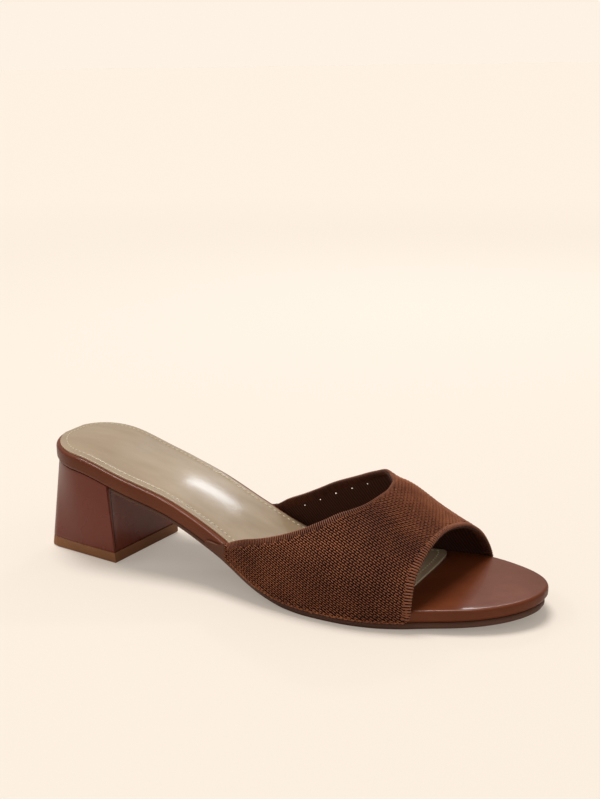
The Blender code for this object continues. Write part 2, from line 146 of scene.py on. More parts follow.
SOCK_MARGIN = (
    # along, inset
    (0.000, 0.80),
    (0.210, 0.95),
    (0.420, 1.35),
    (0.600, 1.20),
    (0.790, 1.00),
)
RIDGE = (
    # along, height, offset
    (0.380, 0.60, 0.060),
    (0.500, 0.95, 0.060),
    (0.583, 1.15, 0.060),
    (0.663, 1.10, 0.050),
    (0.708, 0.96, 0.045),
    (0.729, 0.92, 0.040),
    (0.790, 0.70, 0.000),
    (0.838, 0.55, -0.060),
    (0.880, 0.44, -0.080),
)
ARCH_POWER = {LATERAL: 2.10, MEDIAL: 1.85}
GIRTH_SIDE = 1.10
GIRTH_CORNER = 1.16
GIRTH_END = 1.30
COLLAR = (
    # girth, along
    (-1.30, 0.402),
    (-1.10, 0.408),
    (-1.00, 0.440),
    (-0.83, 0.496),
    (-0.70, 0.579),
    (-0.61, 0.625),
    (-0.52, 0.661),
    (-0.39, 0.694),
    (-0.25, 0.714),
    (-0.11, 0.723),
    (-0.01, 0.719),
    (0.10, 0.707),
    (0.24, 0.690),
    (0.36, 0.667),
    (0.47, 0.625),
    (0.54, 0.593),
    (0.61, 0.555),
    (0.70, 0.512),
    (0.83, 0.467),
    (0.98, 0.432),
    (1.10, 0.392),
    (1.30, 0.385),
)
TOE_OPENING = (
    # girth, along
    (-1.30, 0.808),
    (-1.10, 0.813),
    (-1.00, 0.815),
    (-0.71, 0.816),
    (-0.54, 0.819),
    (-0.31, 0.825),
    (-0.10, 0.830),
    (0.12, 0.836),
    (0.45, 0.844),
    (0.71, 0.849),
    (1.00, 0.856),
    (1.10, 0.857),
    (1.30, 0.852),
)
print("tables: outline", len(OUTLINE), "rows, side view", len(PROFILE), "rows, collar", len(COLLAR), "rows")

# %% [markdown]
# Shoe lines never wiggle between two measured places. A monotone cubic curve keeps that promise:
# it is smooth and never swings past the values of its rows, where a plain spline would.

# %% Curves of the last


def smooth(rows, column, at):
    """Read a table column at any place between its rows."""
    places = [row[0] for row in rows]
    values = [row[column] for row in rows]
    at = min(max(at, places[0]), places[-1])
    i = 0
    while i < len(rows) - 2 and at > places[i + 1]:
        i += 1
    slopes = [(values[k + 1] - values[k]) / (places[k + 1] - places[k]) for k in range(len(rows) - 1)]

    def tangent(k):
        if k == 0:
            return slopes[0]
        if k == len(rows) - 1:
            return slopes[-1]
        before, after = slopes[k - 1], slopes[k]
        return 0.0 if before * after <= 0.0 else 2.0 * before * after / (before + after)

    width = places[i + 1] - places[i]
    t = (at - places[i]) / width
    t2, t3 = t * t, t * t * t
    return ((2 * t3 - 3 * t2 + 1) * values[i] + (t3 - 2 * t2 + t) * width * tangent(i)
            + (3 * t2 - 2 * t3) * values[i + 1] + (t3 - t2) * width * tangent(i + 1))


def mix(a, b, t):
    return a + (b - a) * t


def ease(t):
    """A slow start and a slow stop between 0 and 1."""
    t = min(max(t, 0.0), 1.0)
    return t * t * (3.0 - 2.0 * t)


def forward(along):
    return HEEL_BACK + along * SHOE_LENGTH


def along_of(x):
    return (x - HEEL_BACK) / SHOE_LENGTH


def underside(x):
    """Height of the footbed's underside over the floor."""
    along = along_of(x)
    ball = OUTSOLE_THICKNESS + SEAM_GAP
    return ball + SEAT_RISE * smooth(PROFILE, 1, along) + TOE_SPRING * smooth(PROFILE, 2, along)


def topside(x):
    return underside(x) + mix(FOOTBED_TOE_THICKNESS, FOOTBED_SEAT_THICKNESS,
                              smooth(PROFILE, 3, along_of(x)))


def outsole_bottom(x):
    share = smooth(OUTSOLE_FULLNESS, 1, along_of(x))
    return underside(x) - SEAM_GAP - mix(OUTSOLE_WAIST_THICKNESS, OUTSOLE_THICKNESS, share)


def midline(along):
    return BALL_WIDTH * smooth(OUTLINE, 3, along)


def half_width(along):
    body = SEAT_WIDTH * smooth(OUTLINE, 1, along) + BALL_WIDTH * smooth(OUTLINE, 2, along)
    behind = max(0.0, 1.0 - along * SHOE_LENGTH / (SEAT_ROUND_SHARE * SEAT_WIDTH))
    seat = (1.0 - min(1.0, behind) ** SEAT_ROUND_POWER) ** (1.0 / SEAT_ROUND_POWER)
    ahead = max(0.0, (along - TOE_ROUND_FROM) / (1.0 - TOE_ROUND_FROM))
    return body * seat * math.sqrt(max(0.0, 1.0 - ahead * ahead))


def edge(side, along):
    return forward(along), midline(along) + side * half_width(along)


def inset_edge(side, along, inset):
    """A point of the footbed's outline moved inwards, square to the outline."""
    x0, y0 = edge(side, max(0.0, along - SLOPE_STEP))
    x1, y1 = edge(side, min(1.0, along + SLOPE_STEP))
    length = math.hypot(x1 - x0, y1 - y0)
    x, y = edge(side, along)
    return x + side * inset * (y1 - y0) / length, y - side * inset * (x1 - x0) / length


print("ball is", round(2000 * half_width(0.71), 1), "mm wide; seat top is",
      round(1000 * topside(0.0), 1), "mm over the floor")

# %% [markdown]
# Most pieces are skins: closed rings of points joined into bands, like hoops of a barrel. The
# ends are closed by drawing the last ring in to a spine down the middle, which also gives a top
# its slight crown.

# %% Rings and skins
WELD = 0.01 * MM


def bunched(start, end, count, near_end=False):
    """Places that crowd towards one end, where an outline turns."""
    shares = [1.0 - math.cos(0.5 * math.pi * k / count) for k in range(count + 1)]
    if near_end:
        shares = [1.0 - share for share in reversed(shares)]
    return [mix(start, end, share) for share in shares]


def ring(stations, inset, height):
    """Up the outer side and back down the inner side, at one inset and height."""
    points = []
    for side, order in ((LATERAL, 1), (MEDIAL, -1)):
        for along in stations[::order]:
            x, y = inset_edge(side, along, inset)
            points.append((x, y, height(x)))
    return points


def crowned(loop, end_room, height, crown, steps):
    """Rings drawn in from a loop to a spine on the midline, rising by the crown."""
    low = min(x for x, y, z in loop) + end_room
    high = max(x for x, y, z in loop) - end_room
    rings = []
    for step in range(1, steps + 1):
        t = step / steps
        row = []
        for x, y, z in loop:
            spine_x = min(max(x, low), high)
            px, py = mix(x, spine_x, t), mix(y, midline(along_of(spine_x)), t)
            row.append((px, py, height(px) + crown * (1.0 - (1.0 - t) ** 2)))
        rings.append(row)
    return rings


def piece(name, verts, faces, materials, flip_check=True):
    """A mesh object at the origin, welded, with its normals outwards."""
    mesh = bpy.data.meshes.new(name)
    mesh.from_pydata([tuple(v) for v in verts], [], faces)
    for material in materials:
        mesh.materials.append(material)
    if flip_check:
        work = bmesh.new()
        work.from_mesh(mesh)
        bmesh.ops.remove_doubles(work, verts=work.verts, dist=WELD)
        bmesh.ops.recalc_face_normals(work, faces=work.faces)
        work.to_mesh(mesh)
        work.free()
    mesh.shade_smooth()
    obj = bpy.data.objects.new(name, mesh)
    bpy.context.scene.collection.objects.link(obj)
    return obj


def skin_faces(rings):
    count = len(rings[0])
    faces = []
    for level in range(len(rings) - 1):
        a, b = level * count, (level + 1) * count
        for i in range(count):
            j = (i + 1) % count
            faces.append((a + i, a + j, b + j, b + i))
    return faces


def skin(name, rings, material):
    return piece(name, [p for r in rings for p in r], skin_faces(rings), [material])


def place(obj, node_slot, *nodes):
    """Tell the model which body, finish and solids a piece belongs to."""
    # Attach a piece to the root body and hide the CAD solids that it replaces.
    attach(obj, "root")
    if nodes:
        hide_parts(*nodes)
    print(obj.name, len(obj.data.polygons), "faces")


# %% [markdown]
# Shader groups hold the effects that several finishes share. Each puts out a mask or a height
# that changes over the surface, and every material blends it in with its own numbers. All of
# them read Object coordinates, in metres, so the grain stays fixed to the shoe.

# %% Helpers for node trees


def put(tree, kind, values=None, **settings):
    """Add a node, set its options, then link or set each named input."""
    node = tree.nodes.new(kind)
    for name, value in settings.items():
        setattr(node, name, value)
    for name, value in (values or {}).items():
        socket = node.inputs[name]
        if isinstance(value, bpy.types.NodeSocket):
            tree.links.new(value, socket)
        else:
            socket.default_value = value
    return node


def sums(tree, operation, a, b=0.0):
    """The result of one Math node."""
    return put(tree, "ShaderNodeMath", {0: a, 1: b}, operation=operation).outputs[0]


def new_group(name, kind, ins, outs):
    """A node group with its interface, its input node and its output node."""
    tree = bpy.data.node_groups.new(name, kind)
    for label, socket, value in ins:
        made = tree.interface.new_socket(label, in_out="INPUT", socket_type=socket)
        if value is not None:
            made.default_value = value
    for label, socket in outs:
        tree.interface.new_socket(label, in_out="OUTPUT", socket_type=socket)
    return tree, put(tree, "NodeGroupInput").outputs, put(tree, "NodeGroupOutput").inputs


def colour(red, green, blue):
    """A linear colour from the 0 to 255 numbers that a paint chart gives."""
    def linear(c):
        c /= 255.0
        return c / 12.92 if c <= 0.04045 else ((c + 0.055) / 1.055) ** 2.4

    return (linear(red), linear(green), linear(blue), 1.0)


# %% Shader group: fine grain of coated leather


def build_grain():
    tree, ins, outs = new_group(
        "leather_grain", "ShaderNodeTree",
        [("Grains per Metre", "NodeSocketFloat", 2400.0), ("Wrinkle", "NodeSocketFloat", 0.3)],
        [("Height", "NodeSocketFloat"), ("Pores", "NodeSocketFloat")])
    where = put(tree, "ShaderNodeTexCoord").outputs["Object"]
    cells = put(tree, "ShaderNodeTexVoronoi", {"Vector": where, "Scale": ins["Grains per Metre"]},
                feature="SMOOTH_F1")
    folds = put(tree, "ShaderNodeTexNoise", {"Vector": where, "Scale": 160.0, "Detail": 3.0})
    scaled = sums(tree, "MULTIPLY", folds.outputs["Fac"], ins["Wrinkle"])
    tree.links.new(sums(tree, "ADD", cells.outputs["Distance"], scaled), outs["Height"])
    tree.links.new(cells.outputs["Distance"], outs["Pores"])
    return tree


GRAIN = build_grain()
print("group", GRAIN.name)

# %% Shader group: slow change of tone from handling


def build_tone():
    tree, ins, outs = new_group(
        "handled_tone", "ShaderNodeTree",
        [("Light", "NodeSocketColor", None), ("Dark", "NodeSocketColor", None),
         ("Patches per Metre", "NodeSocketFloat", 30.0), ("Streak", "NodeSocketFloat", 1.0)],
        [("Color", "NodeSocketColor"), ("Mask", "NodeSocketFloat")])
    where = put(tree, "ShaderNodeTexCoord").outputs["Object"]
    stretch = put(tree, "ShaderNodeCombineXYZ", {"X": 1.0, "Y": ins["Streak"], "Z": ins["Streak"]})
    scaled = put(tree, "ShaderNodeVectorMath", {0: where, 1: stretch.outputs[0]}, operation="MULTIPLY")
    noise = put(tree, "ShaderNodeTexNoise", {"Vector": scaled.outputs[0], "Scale": ins["Patches per Metre"],
                                             "Detail": 4.0, "Roughness": 0.55})
    mask = put(tree, "ShaderNodeMapRange", {"Value": noise.outputs["Fac"],
                                            "From Min": 0.32, "From Max": 0.68})
    blend = put(tree, "ShaderNodeMix", {"Factor": mask.outputs[0]}, data_type="RGBA")
    tree.links.new(ins["Dark"], blend.inputs[6])
    tree.links.new(ins["Light"], blend.inputs[7])
    tree.links.new(blend.outputs[2], outs["Color"])
    tree.links.new(mask.outputs[0], outs["Mask"])
    return tree


TONE = build_tone()
print("group", TONE.name)

# %% Shader group: fuzz of yarn, and the slanting rows of a knitted lining


def build_yarn():
    tree, ins, outs = new_group(
        "yarn_fuzz", "ShaderNodeTree",
        [("Light", "NodeSocketColor", None), ("Dark", "NodeSocketColor", None),
         ("Fibres per Metre", "NodeSocketFloat", 2600.0), ("Rows", "NodeSocketFloat", 0.0)],
        [("Color", "NodeSocketColor"), ("Height", "NodeSocketFloat")])
    where = put(tree, "ShaderNodeTexCoord").outputs["Object"]
    fibre = put(tree, "ShaderNodeTexNoise", {"Vector": where, "Scale": ins["Fibres per Metre"],
                                             "Detail": 3.0})
    patch = put(tree, "ShaderNodeTexNoise", {"Vector": where, "Scale": 55.0, "Detail": 2.0})
    both = sums(tree, "ADD", fibre.outputs["Fac"], patch.outputs["Fac"])
    mask = put(tree, "ShaderNodeMapRange", {"Value": both, "From Min": 0.75, "From Max": 1.25})
    rows = put(tree, "ShaderNodeTexWave", {"Vector": where, "Scale": 400.0, "Distortion": 2.5,
                                           "Detail": 1.0, "Detail Scale": 1.0}, bands_direction="DIAGONAL")
    knitted = put(tree, "ShaderNodeMix", {"Factor": ins["Rows"], 2: mask.outputs[0], 3: rows.outputs["Fac"]})
    blend = put(tree, "ShaderNodeMix", {"Factor": knitted.outputs[0]}, data_type="RGBA")
    tree.links.new(ins["Dark"], blend.inputs[6])
    tree.links.new(ins["Light"], blend.inputs[7])
    tree.links.new(blend.outputs[2], outs["Color"])
    tree.links.new(fibre.outputs["Fac"], outs["Height"])
    return tree


YARN = build_yarn()
print("group", YARN.name)

# %% [markdown]
# Each finish is one material: a Principled shader fed by the groups above. The footbed and heel
# are wrapped in coated leather with a soft gloss, the sock in a satin lining, the vamp is matt
# yarn, and the parts that touch the floor are dull rubber. The roughness, the gloss of the coat
# and the sheen are plain numbers on the shader, so that each can be read and changed in one place.

# %% Finishes


def leather(name, light, dark, roughness, coat, grain=0.12, grains=2400.0, wrinkle=0.3, patches=30.0,
            streak=1.0, shine=0.4, coat_roughness=0.2):
    """Coated leather: toned colour, uneven gloss and a fine grain."""
    material = bpy.data.materials.new(name)
    material.use_nodes = True
    tree = material.node_tree
    shader = tree.nodes["Principled BSDF"]
    shader.inputs["Coat Weight"].default_value = coat
    shader.inputs["Coat Roughness"].default_value = coat_roughness
    shader.inputs["Specular IOR Level"].default_value = shine
    tone = put(tree, "ShaderNodeGroup", node_tree=TONE)
    tone.inputs["Light"].default_value = light
    tone.inputs["Dark"].default_value = dark
    tone.inputs["Patches per Metre"].default_value = patches
    tone.inputs["Streak"].default_value = streak
    pores = put(tree, "ShaderNodeGroup", node_tree=GRAIN)
    pores.inputs["Grains per Metre"].default_value = grains
    pores.inputs["Wrinkle"].default_value = wrinkle
    gloss = put(tree, "ShaderNodeMapRange", {"Value": tone.outputs["Mask"], "To Min": roughness + 0.05,
                                             "To Max": roughness - 0.04})
    bump = put(tree, "ShaderNodeBump", {"Height": pores.outputs["Height"], "Strength": grain,
                                        "Distance": 0.1 * MM})
    tree.links.new(tone.outputs["Color"], shader.inputs["Base Color"])
    tree.links.new(gloss.outputs[0], shader.inputs["Roughness"])
    tree.links.new(bump.outputs["Normal"], shader.inputs["Normal"])
    return material


def yarn(name, light, dark, fuzz=0.5, sheen=0.25, roughness=0.8, rows=0.0):
    """Matt knitting yarn with a little sheen."""
    material = bpy.data.materials.new(name)
    material.use_nodes = True
    tree = material.node_tree
    shader = tree.nodes["Principled BSDF"]
    shader.inputs["Roughness"].default_value = roughness
    shader.inputs["Sheen Weight"].default_value = sheen
    shader.inputs["Sheen Roughness"].default_value = 0.5
    shader.inputs["Specular IOR Level"].default_value = 0.3
    strands = put(tree, "ShaderNodeGroup", node_tree=YARN)
    strands.inputs["Light"].default_value = light
    strands.inputs["Dark"].default_value = dark
    strands.inputs["Rows"].default_value = rows
    bump = put(tree, "ShaderNodeBump", {"Height": strands.outputs["Height"], "Strength": fuzz,
                                        "Distance": 0.1 * MM})
    tree.links.new(strands.outputs["Color"], shader.inputs["Base Color"])
    tree.links.new(bump.outputs["Normal"], shader.inputs["Normal"])
    return material


COVER = leather("footbed_cover", colour(126, 63, 31), colour(108, 51, 24), 0.44, 0.25,
               grain=0.08, wrinkle=0.1, shine=0.15, coat_roughness=0.09)
HEEL_COVER = leather("heel_cover", colour(133, 61, 43), colour(122, 55, 37), 0.28, 0.06,
                     grain=0.05, wrinkle=0.0, shine=0.3)
SOCK = leather("sock_lining", colour(193, 169, 139), colour(170, 145, 115), 0.40, 0.38,
               grain=0.10, grains=1500.0, patches=14.0, streak=4.0, coat_roughness=0.15)
# The sock's cut edge: pale partly by its own colour, partly as a painted highlight for the light it catches.
SOCK_EDGE_AND_HIGHLIGHT = leather("sock_cut_edge_and_highlight", colour(240, 220, 192), colour(230, 208, 178), 0.6, 0.0, grain=0.1)
# Dark strip on the heel's fold: painted shade for the groove along the fold.
FOLD_EDGE_SHADE = leather("fold_edge_painted_shade", colour(50, 22, 14), colour(38, 16, 10), 0.5, 0.0, grain=0.1)
SHEET = leather("outsole_sheet", colour(112, 74, 57), colour(90, 58, 44), 0.55, 0.0, grain=0.3)
LIFT = leather("lift_rubber", colour(168, 112, 72), colour(148, 98, 62), 0.6, 0.0,
               grain=0.35, grains=1200.0)
TAB = leather("binding_tab", colour(110, 59, 29), colour(88, 46, 23), 0.5, 0.0, grain=0.2)
KNIT = yarn("knit", colour(198, 124, 84), colour(144, 82, 54), sheen=0.08)
RIB = yarn("knit_rib", colour(174, 110, 80), colour(130, 76, 52), sheen=0.08)
# The inner ribs are darker as painted shade for the inside of the wall.
INNER_RIB_SHADED = yarn("knit_rib_inside_painted_shade", colour(112, 62, 40), colour(78, 42, 26), sheen=0.0)
# The knit's ground is near black as painted shade for the gaps and holes between stitches.
GROUND_IN_PAINTED_SHADE = yarn("knit_ground_painted_shade", colour(54, 17, 5), colour(38, 10, 3), fuzz=0.8, sheen=0.0)
# The needle holes glow: painted light for the light that shows through each hole.
HOLE_GLOW = yarn("needle_hole_painted_light", colour(255, 250, 240), colour(250, 240, 226), fuzz=0.0, sheen=0.0)
hole_glow_shader = HOLE_GLOW.node_tree.nodes["Principled BSDF"]
hole_glow_shader.inputs["Emission Color"].default_value = colour(255, 246, 232)
hole_glow_shader.inputs["Emission Strength"].default_value = 1.5
LINING = yarn("knit_lining", colour(86, 48, 32), colour(50, 26, 16), fuzz=0.8, sheen=0.0, rows=1.0)
THREAD = yarn("sewing_thread", colour(236, 222, 192), colour(220, 204, 172), sheen=0.1, roughness=0.5)
print(len(bpy.data.materials), "materials")

# %% [markdown]
# The heel starts with its top lift, a slab of rubber that can be replaced when it wears. Its CAD
# solid already has the right shape, so only its finish changes.

# %% Top lift
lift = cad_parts["heel_top_lift"]
for slot in lift.material_slots:
    slot.material = LIFT
print("top lift keeps its", len(lift.data.polygons), "faces")

# %% [markdown]
# The heel is a moulded block with its side wrapped in leather. The wrap is folded in over the
# front edges and glued, so the front face, the breast, sits a hair deeper than a rim that widens
# towards the seat, and a small groove runs outside the rim. The plan at the floor and the plan
# under the seat are two paths with equal counts of points, and the wall runs straight between
# them. Two plans and a straight mix are enough here, because the real block has no curve in it.

# %% Heel block
HEEL_POINTS = 96
HEEL_LEVELS = 24
CORNER_STEPS = 24
HEEL_GAP = 0.15 * MM
RIM_AT_FLOOR = 0.9 * MM
RIM_AT_SEAT = 2.8 * MM
RIM_DEPTH = 0.4 * MM
RIM_SLOPE = 0.2 * MM
FOLD_GROOVE = 0.45 * MM
FOLD_SLOPE = 0.12 * MM
FOLD_START = 0.05 * MM
BREAST_COLUMNS = 12
EDGE_ROUNDING = 0.10 * MM


def spread(path, count):
    """Points evenly spaced along a path."""
    lengths = [0.0]
    for a, b in zip(path, path[1:]):
        lengths.append(lengths[-1] + math.hypot(b[0] - a[0], b[1] - a[1]))
    places = np.linspace(0.0, lengths[-1], count)
    return list(zip(np.interp(places, lengths, [p[0] for p in path]),
                    np.interp(places, lengths, [p[1] for p in path])))


def heel_place(x, y):
    """The block stands a little turned under the seat."""
    c, s = math.cos(HEEL_TURN), math.sin(HEEL_TURN)
    return x * c - y * s, x * s + y * c


def breast_along(side, inset):
    """Where an edge of the footbed crosses the breast line."""
    low, high = END_SHARE, 0.5
    for _ in range(40):
        middle = (low + high) / 2
        x, y = inset_edge(side, middle, inset)
        ahead = x * math.cos(HEEL_TURN) + y * math.sin(HEEL_TURN)
        low, high = (middle, high) if ahead < HEEL_BASE_LENGTH / 2 - BREAST_RAKE else (low, middle)
    return (low + high) / 2


def heel_floor_plan():
    """Round the outer side, the back and the inner side, where the block meets the lift."""
    ahead, back, corner = HEEL_BASE_LENGTH / 2, -HEEL_BASE_LENGTH / 2, HEEL_BACK_CORNER
    taper = math.atan2((HEEL_BASE_WIDTH - HEEL_BACK_WIDTH) / 2, HEEL_BASE_LENGTH)
    swing = math.pi / 2 - taper
    centre_y = HEEL_BACK_WIDTH / 2 + math.tan(taper) * corner - corner / math.cos(taper)
    outer = [(ahead, -HEEL_BASE_WIDTH / 2)]
    for k in range(CORNER_STEPS + 1):
        angle = math.pi / 2 - swing + swing * k / CORNER_STEPS
        outer.append((back + corner - corner * math.sin(angle), -centre_y - corner * math.cos(angle)))
    inner = [(x, -y) for x, y in reversed(outer)]
    return [heel_place(x, y) for x, y in spread(outer + inner, HEEL_POINTS)]


def heel_seat_plan():
    """The same way round under the seat, where the block follows the footbed."""
    outer = bunched(END_SHARE, breast_along(LATERAL, HEEL_INSET), HEEL_POINTS)
    inner = bunched(END_SHARE, breast_along(MEDIAL, HEEL_INSET), HEEL_POINTS)
    path = [inset_edge(LATERAL, along, HEEL_INSET) for along in reversed(outer)]
    path += [inset_edge(MEDIAL, along, HEEL_INSET) for along in inner]
    return spread(path, HEEL_POINTS)


def breast_line(outer, inner, rim):
    """The front of one level, from the inner corner to the outer one, with rim and recess."""
    ox, oy = outer
    ix, iy = inner
    width = math.hypot(ox - ix, oy - iy)
    ux, uy = (ox - ix) / width, (oy - iy) / width
    row = []

    def at(from_edge, deep):
        row.append((ix + ux * from_edge + uy * deep, iy + uy * from_edge - ux * deep))

    face = [(FOLD_START, FOLD_GROOVE), (FOLD_GROOVE, FOLD_GROOVE), (FOLD_GROOVE + FOLD_SLOPE, 0.0),
            (rim, 0.0), (rim + RIM_SLOPE, RIM_DEPTH)]
    for from_edge, deep in face:
        at(from_edge, deep)
    for k in range(1, BREAST_COLUMNS):
        at(mix(rim + RIM_SLOPE, width - rim - RIM_SLOPE, k / BREAST_COLUMNS), RIM_DEPTH)
    for from_edge, deep in reversed(face):
        at(width - from_edge, deep)
    return row


def heel_level(floor_plan, seat_plan, share):
    row = [(mix(a[0], b[0], share), mix(a[1], b[1], share)) for a, b in zip(floor_plan, seat_plan)]
    return row + breast_line(row[0], row[-1], mix(RIM_AT_FLOOR, RIM_AT_SEAT, share))


def build_heel():
    floor_plan, seat_plan = heel_floor_plan(), heel_seat_plan()
    foot = LIFT_THICKNESS + HEEL_GAP
    start = foot / HEEL_HEIGHT
    rings = []
    for k in range(HEEL_LEVELS + 1):
        t = k / HEEL_LEVELS
        plan = heel_level(floor_plan, seat_plan, mix(start, 1.0, t))
        rings.append([(x, y, mix(foot, underside(x) - HEEL_GAP, t)) for x, y in plan])
    centre = [sum(p[k] for p in rings[0]) / len(rings[0]) for k in range(2)]
    low = [(centre[0], centre[1], foot)] * len(rings[0])
    high = [(centre[0], centre[1], underside(centre[0]) - HEEL_GAP)] * len(rings[0])
    obj = skin("heel_block", [low] + rings + [high], HEEL_COVER)
    rounding = obj.modifiers.new("edge_rounding", "BEVEL")
    rounding.width = EDGE_ROUNDING
    rounding.segments = 2
    rounding.limit_method = "ANGLE"
    rounding.angle_limit = math.radians(40)
    return obj, rings


heel, heel_rings = build_heel()
place(heel, "heel_cover", "heel")

# %% [markdown]
# The outsole is a thin sheet cut to the footbed's outline, a little smaller all round so that it
# hides from above. It thins towards the heel, where it tucks in against the breast.

# %% Outsole
BREAST_GAP = 2.0 * MM
STATION_GAP = 0.004
SHOE_STATIONS = bunched(END_SHARE, 0.12, 26)[:-1] + [mix(0.12, 0.80, k / 90) for k in range(90)]
SHOE_STATIONS += bunched(0.80, 1.0 - END_SHARE, 40, near_end=True)


def build_outsole():
    start = breast_along(LATERAL, OUTSOLE_INSET) + BREAST_GAP / SHOE_LENGTH
    stations = [start] + [along for along in SHOE_STATIONS if along > start + STATION_GAP]
    shell = []
    for inset, lift_up in ((OUTSOLE_RADIUS, 0.0), (0.3 * OUTSOLE_RADIUS, 0.3 * OUTSOLE_RADIUS),
                           (0.0, OUTSOLE_RADIUS)):
        shell.append(ring(stations, OUTSOLE_INSET + inset, lambda x, up=lift_up: outsole_bottom(x) + up))
    shell.append(ring(stations, OUTSOLE_INSET, lambda x: underside(x) - 0.2 * MM))
    count = len(stations)
    faces = skin_faces(shell)
    for start_at in (0, (len(shell) - 1) * 2 * count):
        for i in range(count - 1):
            faces.append((start_at + i, start_at + i + 1,
                          start_at + 2 * count - 2 - i, start_at + 2 * count - 1 - i))
    return piece("outsole_sheet", [p for r in shell for p in r], faces, [SHEET])


outsole = build_outsole()
place(outsole, "outsole_sheet", "outsole")

# %% [markdown]
# The footbed is a board wrapped in leather, drawn tight round its edge. The edge makes it look
# right: a small round at the top that catches the light all the way round, and a bigger one
# below. The top gets a slight crown, so the open toe shows a soft run of light. Rings along the
# outline keep both rounds even, where a bevel on a box would pinch at the toe.

# %% Footbed wrap
TOE_CROWN = 0.9 * MM
BASE_INSET = 3.0 * MM
BASE_SPINE_ROOM = 24.0 * MM
TOP_SPINE_ROOM = 30.0 * MM
ROUND_STEPS = 6


def build_footbed():
    rings = []
    lower, upper = FOOTBED_BOTTOM_RADIUS, FOOTBED_TOP_RADIUS
    base = ring(SHOE_STATIONS, BASE_INSET, underside)
    rings += crowned(base, BASE_SPINE_ROOM, underside, 0.0, steps=3)[::-1] + [base]
    for k in range(ROUND_STEPS + 1):
        angle = 0.5 * math.pi * k / ROUND_STEPS
        rings.append(ring(SHOE_STATIONS, lower * (1.0 - math.sin(angle)),
                          lambda x, a=angle: underside(x) + lower * (1.0 - math.cos(a))))
    for k in range(ROUND_STEPS + 1):
        angle = 0.5 * math.pi * k / ROUND_STEPS
        rings.append(ring(SHOE_STATIONS, upper * (1.0 - math.cos(angle)),
                          lambda x, a=angle: topside(x) - upper * (1.0 - math.sin(a))))
    rings += crowned(rings[-1], TOP_SPINE_ROOM, topside, TOE_CROWN, steps=10)
    return skin("footbed_wrap", rings, COVER)


footbed = build_footbed()
place(footbed, "footbed_cover", "footbed")

# %% [markdown]
# The sock is a lining over thin foam, glued on the footbed. Its cut edge is square and pale, partly
# by its own colour and partly as a painted highlight for the light the edge catches. Its face is
# slightly puffed, with a shallow groove where the seam pulls it down. It follows the footbed's
# outline drawn in by a few millimetres, up to a blunt front end. It is glued down all over, so it
# can't sag, and its section is drawn as a row of rings instead of simulated as cloth.

# %% Sock pad
SOCK_FOOT = 0.2 * MM
SOCK_NOSE_RISE = 0.9 * MM
SOCK_EDGE_HEIGHT = 0.75 * MM
SOCK_PUFF = 1.6 * MM
SOCK_BOTTOM = -0.3 * MM
SOCK_SPINE_ROOM = 20.0 * MM
PUFF_START = SOCK_EDGE_HEIGHT + 0.42 * MM
SEAM_INSET = 3.0 * MM
SEAM_DEPTH = 0.22 * MM
SEAM_HEIGHT = SOCK_EDGE_HEIGHT + 0.25 * MM - SEAM_DEPTH
SOCK_SECTION = (
    # inset, height over the footbed
    (0.0, SOCK_BOTTOM),
    (0.0, SOCK_EDGE_HEIGHT - 0.2 * MM),
    (0.08 * MM, SOCK_EDGE_HEIGHT - 0.05 * MM),
    (0.3 * MM, SOCK_EDGE_HEIGHT),
    (SEAM_INSET - 1.0 * MM, SOCK_EDGE_HEIGHT + 0.25 * MM),
    (SEAM_INSET - 0.35 * MM, SOCK_EDGE_HEIGHT + 0.2 * MM),
    (SEAM_INSET, SEAM_HEIGHT),
    (SEAM_INSET + 0.35 * MM, SOCK_EDGE_HEIGHT + 0.22 * MM),
    (SEAM_INSET + 1.2 * MM, PUFF_START),
)
EDGE_SLOPE = 0.6
SOCK_START = 0.004
SOCK_END = SOCK_LENGTH / SHOE_LENGTH - 0.0002
SOCK_FRONT = SOCK_END - SOCK_FRONT_ROUND / SHOE_LENGTH
SOCK_STATIONS = bunched(SOCK_START, 0.14, 30)[:-1] + [mix(0.14, SOCK_FRONT, k / 70) for k in range(70)]
SOCK_STATIONS += bunched(SOCK_FRONT, SOCK_END, 18, near_end=True)


def sock_outline(inset):
    """The sock's outline in plan, drawn in by an inset. Its two sides meet at the front end."""
    points = []
    for side, order in ((LATERAL, 1), (MEDIAL, -1)):
        for along in SOCK_STATIONS[::order]:
            margin = SOCK_INSET * smooth(SOCK_MARGIN, 1, along) + inset
            x, y = inset_edge(side, along, margin)
            other_x = inset_edge(-side, along, margin)[0]
            ahead = min(max((along - SOCK_FRONT) / (SOCK_END - SOCK_FRONT), 0.0), 1.0)
            cap = (1.0 - ahead ** SOCK_FRONT_POWER) ** (1.0 / SOCK_FRONT_POWER)
            half = abs(y - midline(along)) * cap
            px = mix(x, (x + other_x) / 2, ease(ahead)) - inset * ease(ahead)
            points.append((px, midline(along) + side * half))
    return points


def sock_height(x, lift_up):
    """Height over the floor. The rounded front end climbs on to the footbed's crown."""
    share = (x - forward(SOCK_FRONT)) / (forward(SOCK_END) - forward(SOCK_FRONT))
    nose = SOCK_NOSE_RISE * min(max(share, 0.0), 1.0) ** 2
    return topside(x) + SOCK_FOOT + nose + lift_up


def build_sock():
    rings = [[(x, y, sock_height(x, up)) for x, y in sock_outline(inset)] for inset, up in SOCK_SECTION]
    under = crowned(rings[0], SOCK_SPINE_ROOM, lambda x: sock_height(x, SOCK_BOTTOM), 0.0, steps=2)
    over = crowned(rings[-1], SOCK_SPINE_ROOM, lambda x: sock_height(x, PUFF_START),
                   SOCK_PUFF - SOCK_EDGE_HEIGHT, steps=10)
    obj = skin("sock_pad", under[::-1] + rings + over, SOCK)
    obj.data.materials.append(SOCK_EDGE_AND_HIGHLIGHT)
    # Steep faces take the pale edge finish, its own colour plus a painted highlight.
    for face in obj.data.polygons:
        face.material_index = 1 if face.normal.z < EDGE_SLOPE else 0
    return obj


